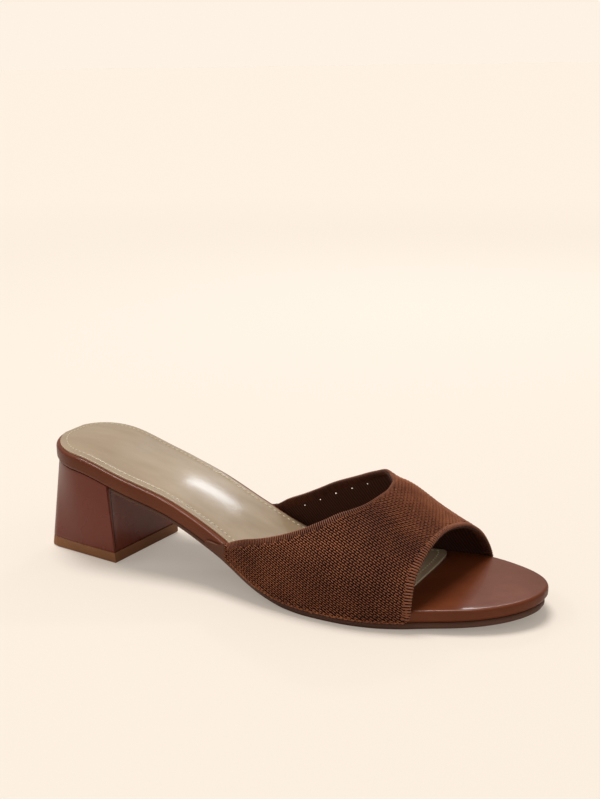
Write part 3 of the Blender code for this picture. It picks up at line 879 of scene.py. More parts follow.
sock = build_sock()
place(sock, "sock_lining", "insole_sock")

# %% [markdown]
# The vamp is a sleeve that rises from one edge of the footbed, over the instep, and down to the
# other. Two numbers name any place on it: girth, from -1 at the outer edge to 1 at the inner
# edge, and along, the share of the shoe's length. The collar and the toe opening are curves of
# along against girth.

# %% Vamp surface
MARGIN_END = 6.0 * MM


def vamp_point(along, girth, proud=0.0):
    """A point of the outer face: over the arch, down the footbed's side, then under its edge."""
    side = LATERAL if girth < 0 else MEDIAL
    reach = abs(girth)
    outward = UPPER_PROUD + proud
    corner = FOOTBED_BOTTOM_RADIUS
    if reach <= 1.0:
        rim_x, rim_y = inset_edge(side, along, -outward)
        middle = BALL_WIDTH * (smooth(OUTLINE, 3, along) + smooth(RIDGE, 2, along))
        height = INSTEP_HEIGHT * smooth(RIDGE, 1, along) + FOOTBED_TOP_RADIUS + proud
        power = 2.0 / ARCH_POWER[side]
        angle = 0.5 * math.pi * reach
        across = math.sin(angle) ** power
        up = max(0.0, math.cos(angle)) ** power
        x = mix(forward(along), rim_x, across)
        return x, mix(middle, rim_y, across), topside(x) - FOOTBED_TOP_RADIUS + height * up
    if reach <= GIRTH_SIDE:
        x, y = inset_edge(side, along, -outward)
        share = (reach - 1.0) / (GIRTH_SIDE - 1.0)
        return x, y, mix(topside(x) - FOOTBED_TOP_RADIUS, underside(x) - proud + corner, share)
    if reach <= GIRTH_CORNER:
        angle = 0.5 * math.pi * (reach - GIRTH_SIDE) / (GIRTH_CORNER - GIRTH_SIDE)
        x, y = inset_edge(side, along, corner * (1.0 - math.cos(angle)) - outward)
        return x, y, underside(x) - proud + corner * (1.0 - math.sin(angle))
    share = (reach - GIRTH_CORNER) / (GIRTH_END - GIRTH_CORNER)
    x, y = inset_edge(side, along, mix(corner - outward, MARGIN_END, share))
    return x, y, underside(x) - proud


def vamp_rows(arch):
    """The girths of the grid's rows, from the margin at the outer edge to the inner one."""
    sides = [1.22, GIRTH_CORNER, 1.13, GIRTH_SIDE, 1.05]
    return [-g for g in sides] + [mix(-1.0, 1.0, k / arch) for k in range(arch + 1)] + sides[::-1]


def vamp_grid(girths, columns):
    """Points of the outer face: a row for each girth, from the collar to the toe opening."""
    rows = []
    for girth in girths:
        back, front = smooth(COLLAR, 1, girth), smooth(TOE_OPENING, 1, girth)
        rows.append([vamp_point(mix(back, front, k / (columns - 1)), girth) for k in range(columns)])
    return np.array(rows)


GIRTHS = vamp_rows(104)
COLUMNS = 56
VAMP = vamp_grid(GIRTHS, COLUMNS)
RIDGE_ROW = len(GIRTHS) // 2
ridge_length = float(np.linalg.norm(VAMP[RIDGE_ROW, -1] - VAMP[RIDGE_ROW, 0]))
print("vamp grid", VAMP.shape, "length at the ridge", round(1000 * ridge_length, 1), "mm")

# %% [markdown]
# Knit is made flat and then pulled over the last, so its rows of stitches run straight on the
# flat cloth and bend on the shoe. To find that flat shape, a coarse net of the vamp is relaxed
# in the plane until each thread of the net has its true length again. The result becomes a UV
# map, on which stitches can be set out as on a table.

# %% Flat pattern of the vamp
CLOTH_SPAN = 0.25
RELAX_PASSES = 5000
RELAX_SPEED = 1.5


def flatten(girths, columns):
    """Relax a net of the vamp in the plane. Returns its flat points and its usual stretch."""
    net = vamp_grid(girths, columns)
    middle = len(girths) // 2
    flat = np.zeros(net.shape[:2] + (2,))
    across = np.linalg.norm(np.diff(net, axis=0), axis=2)
    flat[1:, :, 0] = np.cumsum(across, axis=0)
    flat[:, :, 0] -= flat[middle, :, 0]
    flat[:, :, 1] = net[:, :, 0]
    index = np.arange(flat[..., 0].size).reshape(flat.shape[:2])
    pairs = [(index[:-1], index[1:]), (index[:, :-1], index[:, 1:]), (index[:-1, :-1], index[1:, 1:]),
             (index[:-1, 1:], index[1:, :-1]), (index[:-4], index[4:]), (index[:, :-4], index[:, 4:])]
    threads = np.concatenate([np.stack([a.ravel(), b.ravel()], 1) for a, b in pairs])
    points, plane = net.reshape(-1, 3), flat.reshape(-1, 2)
    length = np.linalg.norm(points[threads[:, 0]] - points[threads[:, 1]], axis=1)
    share = np.bincount(threads.ravel(), minlength=len(plane))[:, None]
    for _ in range(RELAX_PASSES):
        gap = plane[threads[:, 1]] - plane[threads[:, 0]]
        now = np.linalg.norm(gap, axis=1) + 1e-12
        pull = (0.5 * (now - length) / now)[:, None] * gap
        move = np.zeros_like(plane)
        for k in range(2):
            move[:, k] = (np.bincount(threads[:, 0], pull[:, k], len(plane))
                          - np.bincount(threads[:, 1], pull[:, k], len(plane)))
        plane += RELAX_SPEED * move / share
    now = np.linalg.norm(plane[threads[:, 1]] - plane[threads[:, 0]], axis=1)
    flat = plane.reshape(flat.shape)
    run = flat[middle, -1] - flat[middle, 0]
    turn = math.atan2(run[0], run[1])
    c, s = math.cos(turn), math.sin(turn)
    flat = flat - flat[middle, 0]
    flat = np.stack([c * flat[..., 0] - s * flat[..., 1], s * flat[..., 0] + c * flat[..., 1]], -1)
    return flat, float(np.sqrt(np.mean(((now - length) / length) ** 2)))


def refine(values, girths, wanted, columns):
    """Read a coarse net at the fine grid's rows and columns."""
    rows = np.stack([np.stack([np.interp(wanted, girths, values[:, j, k]) for j in range(values.shape[1])], 1)
                     for k in range(2)], -1)
    coarse = np.linspace(0.0, 1.0, values.shape[1])
    fine = np.linspace(0.0, 1.0, columns)
    return np.stack([np.stack([np.interp(fine, coarse, rows[i, :, k]) for i in range(len(wanted))])
                     for k in range(2)], -1)


NET_GIRTHS = vamp_rows(40)
NET, strain = flatten(NET_GIRTHS, 25)
CLOTH = refine(NET, NET_GIRTHS, GIRTHS, COLUMNS)
cloth_size = np.ptp(CLOTH.reshape(-1, 2), axis=0)
print("flat cloth", np.round(1000 * cloth_size, 1), "mm, usual stretch", round(100 * strain, 2), "%")

# %% [markdown]
# Stitches fill the cloth between two ribbed bands and stop short of the tabs at its corners. The
# distance of each point from the rims is measured first and stored on the cloth, so that the
# nodes only have to compare a number.

# %% Room left for stitches between the ribbed bands and the end tabs
TAB_TOP = 0.955
BAND_ON_RIDGE = 0.55
BAND_GROWS_TO = 0.55


def rim_distance(grid, line):
    return np.linalg.norm(grid[:, :, None, :] - line[None, None, :, :], axis=3).min(axis=2)


def tab_front(side):
    return smooth(COLLAR, 1, side * TAB_TOP)


def band_reach(girth):
    """The bands narrow from full width at the sides to about half on the ridge."""
    return mix(BAND_ON_RIDGE, 1.0, min(1.0, abs(girth) / BAND_GROWS_TO) ** 2)


def stitch_room():
    """How far each point lies past the bands, below zero where no stitch goes."""
    reach = np.array([band_reach(girth) for girth in GIRTHS])[:, None]
    room = np.minimum(rim_distance(VAMP, VAMP[:, 0]) - COLLAR_BAND * reach,
                      rim_distance(VAMP, VAMP[:, -1]) - TOE_BAND * reach)
    for i, girth in enumerate(GIRTHS):
        if abs(girth) > TAB_TOP:
            side = LATERAL if girth < 0 else MEDIAL
            past_tab = VAMP[i, :, 0] - forward(tab_front(side))
            room[i] = np.minimum(room[i] + COLLAR_BAND, past_tab)
    return room


ROOM = stitch_room()
print("widest place is", round(1000 * float(ROOM.max()), 1), "mm from a band")

# %% [markdown]
# The wall under the stitches is one sheet with two faces and a rounded rim. Its outer face is the
# dark ground between stitches, its near-black colour painted shade for the gaps and holes there,
# and its inner face is the lining that shows inside the shoe. The two faces are the same grid
# moved along its normals, as a Solidify modifier would do, but built by hand so that the rim can
# be rounded.

# %% Vamp wall
GROUND_DROP = 0.35 * MM
RIM_BULGE = 0.35 * MM


def surface_normals(grid):
    """Normals of a grid of points, turned so that they point away from the foot."""
    u = np.gradient(grid, axis=0)
    v = np.gradient(grid, axis=1)
    normal = np.cross(u, v)
    normal /= np.linalg.norm(normal, axis=2, keepdims=True)
    outward = grid - np.array([0.0, midline(0.7), 0.0])
    if (normal * outward).sum() < 0:
        normal = -normal
    return normal


NORMAL = surface_normals(VAMP)


def build_wall():
    rows, columns = VAMP.shape[:2]
    outer = VAMP - GROUND_DROP * NORMAL
    inner = VAMP - UPPER_WALL * NORMAL
    verts = list(outer.reshape(-1, 3)) + list(inner.reshape(-1, 3))
    half = rows * columns
    faces, kinds = [], []
    for i in range(rows - 1):
        for j in range(columns - 1):
            a = i * columns + j
            faces.append((a, a + 1, a + columns + 1, a + columns))
            kinds.append(0)
            faces.append((half + a, half + a + columns, half + a + columns + 1, half + a + 1))
            kinds.append(1)
    edge_line = [(i, 0) for i in range(rows)]
    edge_line += [(rows - 1, j) for j in range(1, columns)]
    edge_line += [(i, columns - 1) for i in range(rows - 2, -1, -1)]
    edge_line += [(0, j) for j in range(columns - 2, 0, -1)]
    middle = []
    for i, j in edge_line:
        away = VAMP[i, j] - VAMP[i, 1 if j == 0 else j - 1] if j in (0, columns - 1) else np.zeros(3)
        size = np.linalg.norm(away)
        if size > 0:
            away = away / size * RIM_BULGE
        middle.append(len(verts))
        verts.append((outer[i, j] + inner[i, j]) / 2 + away)
    for k in range(len(edge_line)):
        (i0, j0), (i1, j1) = edge_line[k], edge_line[(k + 1) % len(edge_line)]
        a, b = i0 * columns + j0, i1 * columns + j1
        m, n = middle[k], middle[(k + 1) % len(edge_line)]
        faces += [(a, b, n, m), (m, n, half + b, half + a)]
        kinds += [0, 0 if i0 == i1 else 1]
    obj = piece("vamp_wall", verts, faces, [GROUND_IN_PAINTED_SHADE, LINING], flip_check=False)
    mesh = obj.data
    for face, kind in zip(mesh.polygons, kinds):
        face.material_index = kind
    work = bmesh.new()
    work.from_mesh(mesh)
    bmesh.ops.recalc_face_normals(work, faces=work.faces)
    work.to_mesh(mesh)
    work.free()
    return obj


wall = build_wall()
place(wall, "knit", "upper")

# %% [markdown]
# Yarn is modelled as short plump tubes, because its shadows give a knit its look, and a bump map
# has none. One small helper draws every piece of yarn and thread on the shoe.

# %% A plump tube, the shape of every small piece of yarn


def tube(verts, faces, path, side, widths, depths, around=4):
    """A closed tube along a path; its width runs along the side vector."""
    path = [Vector(point) for point in path]
    side = Vector(side).normalized()
    start = len(verts)
    verts.append(path[0])
    for s, here in enumerate(path[1:-1]):
        out = side.cross((path[s + 2] - path[s]).normalized())
        for k in range(around):
            angle = 2.0 * math.pi * k / around
            verts.append(here + side * (0.5 * widths[s] * math.cos(angle))
                         + out * (0.5 * depths[s] * math.sin(angle)))
    verts.append(path[-1])
    hoops = len(path) - 2
    for k in range(around):
        n = (k + 1) % around
        faces.append((start, start + 1 + n, start + 1 + k))
        for h in range(hoops - 1):
            a = start + 1 + h * around
            faces.append((a + k, a + n, a + around + n, a + around + k))
        last = start + 1 + (hoops - 1) * around
        faces.append((last + k, last + n, start + 1 + hoops * around))


# %% [markdown]
# The tube is first used on the heel. A thin dark strip lies on the cut edge of the folded wrap,
# down each side of the breast; its dark colour is painted shade for the groove along the fold.

# %% Painted shade along the edges of the heel's fold


def build_fold_edge_shade():
    verts, faces = [], []
    for column, outward in ((-4, -3), (HEEL_POINTS + 3, HEEL_POINTS + 2)):
        path = [row[column] for row in heel_rings]
        side = Vector(heel_rings[0][column]) - Vector(heel_rings[0][outward])
        count = len(path) - 2
        tube(verts, faces, path, side, [0.5 * MM] * count, [0.12 * MM] * count)
    return piece("heel_fold_edges", verts, faces, [FOLD_EDGE_SHADE])


fold_edge_shade = build_fold_edge_shade()
place(fold_edge_shade, "heel_cover")

# %% [markdown]
# Geometry Nodes set out the stitches. A grid of points on the flat cloth, every other column
# shifted by half a stitch, is sampled on the UV map to find each point's place on the shoe, its
# normal and the way the column runs. One stitch with two legs is then set on each point. Doing
# it on the flat cloth keeps the count and the spacing true, where scattering on the curved face
# would drift. The spacing was measured in the photograph.

# %% The stitch: two legs that lean apart
COURSE = 1.71 * MM
WALE = 1.82 * MM
WALE_TURN = math.radians(-4.0)
LEG_LEAN = 0.12 * MM
RIDGE_LEAN = math.radians(34.0)


def build_stitch():
    verts, faces = [], []
    reach, apart = 0.53 * COURSE, 0.25 * WALE
    for side in (-1, 1):
        path = []
        for share, up in ((-1.0, -0.38), (-0.62, 0.0), (0.0, 0.14), (0.62, 0.06), (1.0, -0.30)):
            path.append((side * (apart + share * LEG_LEAN), share * reach, up * MM))
        tube(verts, faces, path, (reach, -side * LEG_LEAN, 0.0),
             (0.38 * MM, 0.47 * MM, 0.40 * MM), (0.50 * MM, 0.66 * MM, 0.50 * MM))
    return piece("one_stitch", verts, faces, [KNIT])


stitch = build_stitch()
print("one stitch has", len(stitch.data.polygons), "faces")

# %% Geometry Nodes: stitches on the flat cloth
GRID_POINTS = 121
LOOK_AHEAD = 0.002


def stored(tree, name, data_type):
    """Read an attribute that the mesh carries."""
    return put(tree, "GeometryNodeInputNamedAttribute", {"Name": name}, data_type=data_type).outputs[0]


def uneven_size(tree, ins):
    """A random scale round 1, different for each copy."""
    size = put(tree, "FunctionNodeRandomValue", {"Seed": ins["Seed"]}, data_type="FLOAT")
    tree.links.new(sums(tree, "SUBTRACT", 1.0, ins["Unevenness"]), size.inputs[2])
    tree.links.new(sums(tree, "ADD", 1.0, ins["Unevenness"]), size.inputs[3])
    return size.outputs[1]


def copied(tree, spots, shape, settings, finish, outs):
    """Set a copy of a shape on each spot, make the copies real and give them their finish."""
    source = put(tree, "GeometryNodeObjectInfo", {"Object": shape}, transform_space="ORIGINAL")
    copies = put(tree, "GeometryNodeInstanceOnPoints",
                 {"Points": spots, "Instance": source.outputs["Geometry"], **settings})
    real = put(tree, "GeometryNodeRealizeInstances", {"Geometry": copies.outputs[0]})
    done = put(tree, "GeometryNodeSetMaterial", {"Geometry": real.outputs[0], "Material": finish})
    tree.links.new(done.outputs[0], outs["Geometry"])


def sampled(tree, geometry, data_type, value, uv_map, at):
    """Look a value up on the mesh at a place of its UV map."""
    node = put(tree, "GeometryNodeSampleUVSurface", data_type=data_type)
    tree.links.new(geometry, node.inputs["Mesh"])
    if value is not None:
        tree.links.new(value, node.inputs["Value"])
    tree.links.new(uv_map, node.inputs[2])
    tree.links.new(at, node.inputs["Sample UV"])
    return node


def build_knit_tree():
    tree, ins, outs = new_group(
        "stitches_on_cloth", "GeometryNodeTree",
        [("Geometry", "NodeSocketGeometry", None), ("Stitch", "NodeSocketObject", None),
         ("Wale Spacing", "NodeSocketFloat", WALE), ("Course Spacing", "NodeSocketFloat", COURSE),
         ("Wale Turn", "NodeSocketFloat", 0.0), ("Band Overlap", "NodeSocketFloat", 0.0),
         ("Cloth Span", "NodeSocketFloat", CLOTH_SPAN), ("Unevenness", "NodeSocketFloat", 0.08),
         ("Seed", "NodeSocketInt", 3), ("Yarn", "NodeSocketMaterial", None)],
        [("Geometry", "NodeSocketGeometry")])
    grid = put(tree, "GeometryNodeMeshGrid", {"Vertices X": GRID_POINTS, "Vertices Y": GRID_POINTS})
    for axis, gap in (("Size X", "Wale Spacing"), ("Size Y", "Course Spacing")):
        tree.links.new(sums(tree, "MULTIPLY", ins[gap], GRID_POINTS - 1.0), grid.inputs[axis])
    spot = put(tree, "GeometryNodeInputPosition").outputs[0]
    parts = put(tree, "ShaderNodeSeparateXYZ", {0: spot})
    column = sums(tree, "ROUND", sums(tree, "DIVIDE", parts.outputs["X"], ins["Wale Spacing"]))
    odd = sums(tree, "FLOORED_MODULO", column, 2.0)
    shift = sums(tree, "MULTIPLY", sums(tree, "MULTIPLY", odd, ins["Course Spacing"]), 0.5)
    offset = put(tree, "ShaderNodeCombineXYZ", {"Y": shift})
    staggered = put(tree, "GeometryNodeSetPosition", {"Geometry": grid.outputs["Mesh"],
                                                      "Offset": offset.outputs[0]})
    turned = put(tree, "ShaderNodeVectorRotate", {"Vector": spot, "Angle": ins["Wale Turn"]},
                 rotation_type="Z_AXIS")
    laid = put(tree, "GeometryNodeSetPosition", {"Geometry": staggered.outputs[0],
                                                 "Position": turned.outputs[0]})
    inverse = sums(tree, "DIVIDE", 1.0, ins["Cloth Span"])
    scaled = put(tree, "ShaderNodeVectorMath", {0: spot, "Scale": inverse}, operation="SCALE")
    at = put(tree, "ShaderNodeVectorMath", {0: scaled.outputs[0], 1: (0.5, 0.5, 0.0)},
             operation="ADD").outputs[0]
    ahead = put(tree, "ShaderNodeCombineXYZ", {"Y": LOOK_AHEAD})
    course_way = put(tree, "ShaderNodeVectorRotate", {"Vector": ahead.outputs[0], "Angle": ins["Wale Turn"]},
                     rotation_type="Z_AXIS")
    at_ahead = put(tree, "ShaderNodeVectorMath", {0: at, 1: course_way.outputs[0]},
                   operation="ADD").outputs[0]
    cloth, uv_map = ins["Geometry"], stored(tree, "cloth", "FLOAT_VECTOR")
    place_at = sampled(tree, cloth, "FLOAT_VECTOR", spot, uv_map, at)
    place_ahead = sampled(tree, cloth, "FLOAT_VECTOR", spot, uv_map, at_ahead)
    normal_at = sampled(tree, cloth, "FLOAT_VECTOR", stored(tree, "up", "FLOAT_VECTOR"), uv_map, at)
    room_at = sampled(tree, cloth, "FLOAT", stored(tree, "room", "FLOAT"), uv_map, at)
    lean_at = sampled(tree, cloth, "FLOAT", stored(tree, "lean", "FLOAT"), uv_map, at)
    clear = put(tree, "FunctionNodeCompare",
                {0: sums(tree, "ADD", room_at.outputs["Value"], ins["Band Overlap"]), 1: 0.0},
                data_type="FLOAT", operation="GREATER_THAN")
    both = put(tree, "FunctionNodeBooleanMath", {0: place_at.outputs["Is Valid"],
                                                 1: place_ahead.outputs["Is Valid"]}, operation="AND")
    keep = put(tree, "FunctionNodeBooleanMath", {0: both.outputs[0], 1: clear.outputs[0]}, operation="AND")
    straight = put(tree, "ShaderNodeVectorMath",
                   {0: place_ahead.outputs["Value"], 1: place_at.outputs["Value"]}, operation="SUBTRACT")
    way = put(tree, "ShaderNodeVectorRotate",
              {"Vector": straight.outputs[0], "Axis": normal_at.outputs["Value"],
               "Angle": lean_at.outputs["Value"]}, rotation_type="AXIS_ANGLE")
    turn = put(tree, "FunctionNodeAxesToRotation", {"Primary Axis": normal_at.outputs["Value"],
                                                    "Secondary Axis": way.outputs[0]},
               primary_axis="Z", secondary_axis="Y")
    kept = put(tree, "GeometryNodeStoreNamedAttribute", {"Geometry": laid.outputs[0], "Name": "keep",
                                                         "Value": keep.outputs[0]},
               data_type="BOOLEAN", domain="POINT")
    turned_at = put(tree, "GeometryNodeStoreNamedAttribute", {"Geometry": kept.outputs[0], "Name": "turn",
                                                              "Value": turn.outputs[0]},
                    data_type="QUATERNION", domain="POINT")
    on_shoe = put(tree, "GeometryNodeSetPosition", {"Geometry": turned_at.outputs[0],
                                                    "Position": place_at.outputs["Value"]})
    copied(tree, on_shoe.outputs[0], ins["Stitch"],
           {"Selection": stored(tree, "keep", "BOOLEAN"), "Rotation": stored(tree, "turn", "QUATERNION"),
            "Scale": uneven_size(tree, ins)}, ins["Yarn"], outs)
    return tree


KNIT_TREE = build_knit_tree()
print("tree", KNIT_TREE.name, len(KNIT_TREE.nodes), "nodes")

# %% [markdown]
# A tree works on a carrier, a mesh that holds the values it reads. Its result is taken as a plain
# mesh and the modifier is removed, so that the copies are real geometry and not instances. The
# attributes in SPARE are dropped then, as only nodes need them.

# %% Run a tree and keep its result as a plain mesh
SPARE = ("keep", "turn", "up", "inward", "reach", "room", "lean")
BAND_OVERLAP = 0.6 * MM
LEAN_ENDS_AT = 0.45
LEAN_FADES_OVER = 0.25


def grow(carrier, tree, values, name):
    """Set a tree's named inputs, evaluate it, and return the result as its own object."""
    modifier = carrier.modifiers.new("grow", "NODES")
    modifier.node_group = tree
    sockets = {item.name: item.identifier for item in tree.interface.items_tree
               if item.item_type == "SOCKET" and item.in_out == "INPUT"}
    for label, value in values.items():
        modifier[sockets[label]] = value
    carrier.update_tag()
    bpy.context.view_layer.update()
    evaluated = carrier.evaluated_get(bpy.context.evaluated_depsgraph_get())
    mesh = bpy.data.meshes.new_from_object(evaluated)
    mesh.name = name
    mesh.shade_smooth()
    carrier.modifiers.remove(modifier)
    bpy.data.objects.remove(carrier)
    obj = bpy.data.objects.new(name, mesh)
    bpy.context.scene.collection.objects.link(obj)
    for spare in [a.name for a in mesh.attributes if a.name in SPARE]:
        mesh.attributes.remove(mesh.attributes[spare])
    return obj


def ridge_lean(girth):
    """The stitches pull askew where the cloth is stretched over the ridge."""
    return RIDGE_LEAN * ease((LEAN_ENDS_AT - abs(girth)) / LEAN_FADES_OVER)


def cloth_sheet():
    """The outer face alone, with the flat cloth as its UV map and the rim distance stored."""
    rows, columns = VAMP.shape[:2]
    faces = [(i * columns + j, i * columns + j + 1, (i + 1) * columns + j + 1, (i + 1) * columns + j)
             for i in range(rows - 1) for j in range(columns - 1)]
    sheet = piece("cloth_sheet", VAMP.reshape(-1, 3), faces, [], flip_check=False)
    mesh = sheet.data
    layer = mesh.uv_layers.new(name="cloth")
    flat = CLOTH.reshape(-1, 2) / CLOTH_SPAN + 0.5
    corners = np.empty(len(mesh.loops), dtype=np.int32)
    mesh.loops.foreach_get("vertex_index", corners)
    layer.data.foreach_set("uv", flat[corners].ravel())
    room = mesh.attributes.new("room", "FLOAT", "POINT")
    room.data.foreach_set("value", ROOM.ravel())
    lean = mesh.attributes.new("lean", "FLOAT", "POINT")
    lean.data.foreach_set("value", np.repeat([ridge_lean(girth) for girth in GIRTHS], columns))
    up = mesh.attributes.new("up", "FLOAT_VECTOR", "POINT")
    up.data.foreach_set("vector", NORMAL.reshape(-1, 3).ravel())
    return sheet


knit = grow(cloth_sheet(), KNIT_TREE,
            {"Stitch": stitch, "Wale Spacing": WALE, "Course Spacing": COURSE, "Wale Turn": WALE_TURN,
             "Band Overlap": BAND_OVERLAP, "Cloth Span": CLOTH_SPAN, "Unevenness": 0.07, "Seed": 3,
             "Yarn": KNIT},
            "knit_stitches")
bpy.data.objects.remove(stitch)
place(knit, "knit")

# %% [markdown]
# The collar and the toe opening end in ribbed bands. Each rib is a short bar that starts at the
# edge, square to it, and turns over the wall. A line of points down each rim carries the way up
# and the way inwards, and one Geometry Nodes tree, used again for every row of small things,
# sets a copy at equal steps along such a line.

# %% Geometry Nodes: copies along a line


def build_line_tree():
    tree, ins, outs = new_group(
        "copies_along_line", "GeometryNodeTree",
        [("Geometry", "NodeSocketGeometry", None), ("Shape", "NodeSocketObject", None),
         ("Step", "NodeSocketFloat", 1.0 * MM), ("Unevenness", "NodeSocketFloat", 0.05),
         ("Seed", "NodeSocketInt", 1), ("Finish", "NodeSocketMaterial", None)],
        [("Geometry", "NodeSocketGeometry")])
    line = put(tree, "GeometryNodeMeshToCurve", {"Mesh": ins["Geometry"]})
    even = put(tree, "GeometryNodeResampleCurve", {"Curve": line.outputs[0], "Length": ins["Step"]},
               mode="LENGTH")
    turn = put(tree, "FunctionNodeAxesToRotation",
               {"Primary Axis": stored(tree, "up", "FLOAT_VECTOR"),
                "Secondary Axis": stored(tree, "inward", "FLOAT_VECTOR")},
               primary_axis="Z", secondary_axis="Y")
    size = uneven_size(tree, ins)
    reach = sums(tree, "MULTIPLY", size, stored(tree, "reach", "FLOAT"))
    scale = put(tree, "ShaderNodeCombineXYZ", {"X": size, "Y": reach, "Z": size})
    copied(tree, even.outputs[0], ins["Shape"],
           {"Rotation": turn.outputs[0], "Scale": scale.outputs[0]}, ins["Finish"], outs)
    return tree


LINE_TREE = build_line_tree()
print("tree", LINE_TREE.name, len(LINE_TREE.nodes), "nodes")


def guide_line(name, points, ups, inwards, closed=False, reaches=None):
    """A line of edges whose points know the way up, the way in and how far a copy reaches in."""
    mesh = bpy.data.meshes.new(name)
    count = len(points)
    edges = [(k, k + 1) for k in range(count - 1)] + ([(count - 1, 0)] if closed else [])
    mesh.from_pydata([tuple(p) for p in points], edges, [])
    for label, vectors in (("up", ups), ("inward", inwards)):
        layer = mesh.attributes.new(label, "FLOAT_VECTOR", "POINT")
        layer.data.foreach_set("vector", np.array(vectors, dtype=np.float32).ravel())
    layer = mesh.attributes.new("reach", "FLOAT", "POINT")
    layer.data.foreach_set("value", np.ones(count) if reaches is None else np.array(reaches))
    obj = bpy.data.objects.new(name, mesh)
    bpy.context.scene.collection.objects.link(obj)
    return obj


# %% [markdown]
# A rib is drawn once from a short list of places: how far in from the rim, and how high over the
# cloth. The outer rib stops halfway over the rim, where an inner one takes over. The inner rib's
# darker colour is painted shade for the inside of the wall.

# %% Rib bars on both rims
COLLAR_STEP = 0.88 * MM
TOE_STEP = 1.2 * MM
INNER_BAND = 4.0 * MM


def build_rib(outer_length, pitch, fullness):
    """One rib: in from the outer face and halfway over the rim."""
    path = [(outer_length, -0.25 * MM), (outer_length - 0.5 * MM, 0.02 * MM),
            (outer_length / 2, 0.08 * MM), (0.3 * MM, 0.0), (-0.12 * MM, -0.35 * MM),
            (-0.16 * MM, -0.5 * UPPER_WALL), (0.0, -0.62 * UPPER_WALL)]
    verts, faces = [], []
    tube(verts, faces, [(0.0, along_y, up) for along_y, up in path], (1.0, 0.0, 0.0),
         [share * fullness * pitch for share in (0.52, 0.6, 0.64, 0.62, 0.54)],
         [0.5 * MM, 0.6 * MM, 0.6 * MM, 0.5 * MM, 0.4 * MM], around=6)
    return piece("one_rib", verts, faces, [RIB])


def build_inner_rib(pitch):
    """The same rib where it comes over the rim and runs down the lining."""
    level = -UPPER_WALL
    path = [(0.0, 0.42 * level), (-0.14 * MM, 0.62 * level), (-0.1 * MM, level + 0.35 * MM),
            (0.3 * MM, level + 0.05 * MM), (INNER_BAND / 2, level - 0.04 * MM),
            (INNER_BAND - 0.5 * MM, level), (INNER_BAND, level + 0.2 * MM)]
    verts, faces = [], []
    tube(verts, faces, [(0.0, along_y, up) for along_y, up in path], (1.0, 0.0, 0.0),
         [share * pitch for share in (0.46, 0.5, 0.54, 0.56, 0.5)],
         [0.4 * MM, 0.4 * MM, 0.5 * MM, 0.6 * MM, 0.5 * MM], around=6)
    return piece("one_inner_rib", verts, faces, [INNER_RIB_SHADED])


def rim_guide(name, column, neighbour, low, high, drop=0.0, inset=0.0):
    """The rim line between two girths, with the way out and the way in from the rim."""
    keep = [i for i, girth in enumerate(GIRTHS) if low <= girth <= high]
    points, ups, inwards = [], [], []
    for i in keep:
        before, after = VAMP[max(i - 1, 0), column], VAMP[min(i + 1, len(GIRTHS) - 1), column]
        way = np.cross(after - before, NORMAL[i, column])
        way *= math.copysign(1.0, float(np.dot(way, VAMP[i, neighbour] - VAMP[i, column])))
        way /= np.linalg.norm(way)
        points.append(VAMP[i, column] - drop * NORMAL[i, column] + inset * way)
        ups.append(NORMAL[i, column])
        inwards.append(way)
    return guide_line(name, points, ups, inwards, reaches=[band_reach(GIRTHS[i]) for i in keep])


def rib_row(name, rib, finish, column, neighbour, reach, step, seed):
    """Copies of a rib along one rim, out to the same girth on both sides."""
    row = grow(rim_guide(name + "_guide", column, neighbour, -reach, reach), LINE_TREE,
               {"Shape": rib, "Step": step, "Unevenness": 0.05, "Seed": seed, "Finish": finish}, name)
    bpy.data.objects.remove(rib)
    place(row, "knit")


rib_row("collar_ribs", build_rib(COLLAR_BAND, COLLAR_STEP, 0.76), RIB, 0, 1, TAB_TOP, COLLAR_STEP, 5)
rib_row("collar_inner_ribs", build_inner_rib(COLLAR_STEP), INNER_RIB_SHADED, 0, 1, TAB_TOP, COLLAR_STEP, 5)
TOE_RIM = COLUMNS - 1
rib_row("toe_ribs", build_rib(TOE_BAND, TOE_STEP, 1.12), RIB, TOE_RIM, TOE_RIM - 1, 1.12, TOE_STEP, 6)
rib_row("toe_inner_ribs", build_inner_rib(TOE_STEP), INNER_RIB_SHADED, TOE_RIM, TOE_RIM - 1, 0.9, TOE_STEP, 6)

# %% [markdown]
# Five points of light show on the lining of the inner side, under the rib. They are read as
# needle holes with light coming through. They are too small to cut, so each is a tiny glowing
# knot, painted light for the light through the hole, and the same tree sets them out along a
# line a little way in from the collar.

# %% Needle holes in the lining, glowing as painted light
HOLE_STEP = 7.2 * MM
HOLE_INSET = 4.7 * MM
HOLE_WIDTH = 0.42 * MM
HOLE_FROM = 0.47
HOLE_TO = 0.76


def build_hole():
    verts, faces = [], []
    path = [(0.0, 0.0, height * MM) for height in (-0.3, -0.18, 0.18, 0.3)]
    tube(verts, faces, path, (1.0, 0.0, 0.0), [HOLE_WIDTH] * 2, [HOLE_WIDTH] * 2, around=8)
    return piece("one_hole", verts, faces, [HOLE_GLOW])


hole = build_hole()
hole_guide = rim_guide("hole_guide", 0, 1, HOLE_FROM, HOLE_TO, drop=UPPER_WALL, inset=HOLE_INSET)
needle_holes = grow(hole_guide, LINE_TREE, {"Shape": hole, "Step": HOLE_STEP, "Unevenness": 0.1,
                                            "Seed": 8, "Finish": HOLE_GLOW}, "needle_holes")
bpy.data.objects.remove(hole)
place(needle_holes, "knit")

# %% [markdown]
# At each rear corner, where the collar meets the sole, the knit is bound by a smooth tab. It is a
# wedge that wraps over the edge of the footbed, its free edge on the collar line. It is drawn on
# the vamp's own surface, a little proud of it, so that it bends with the corner.

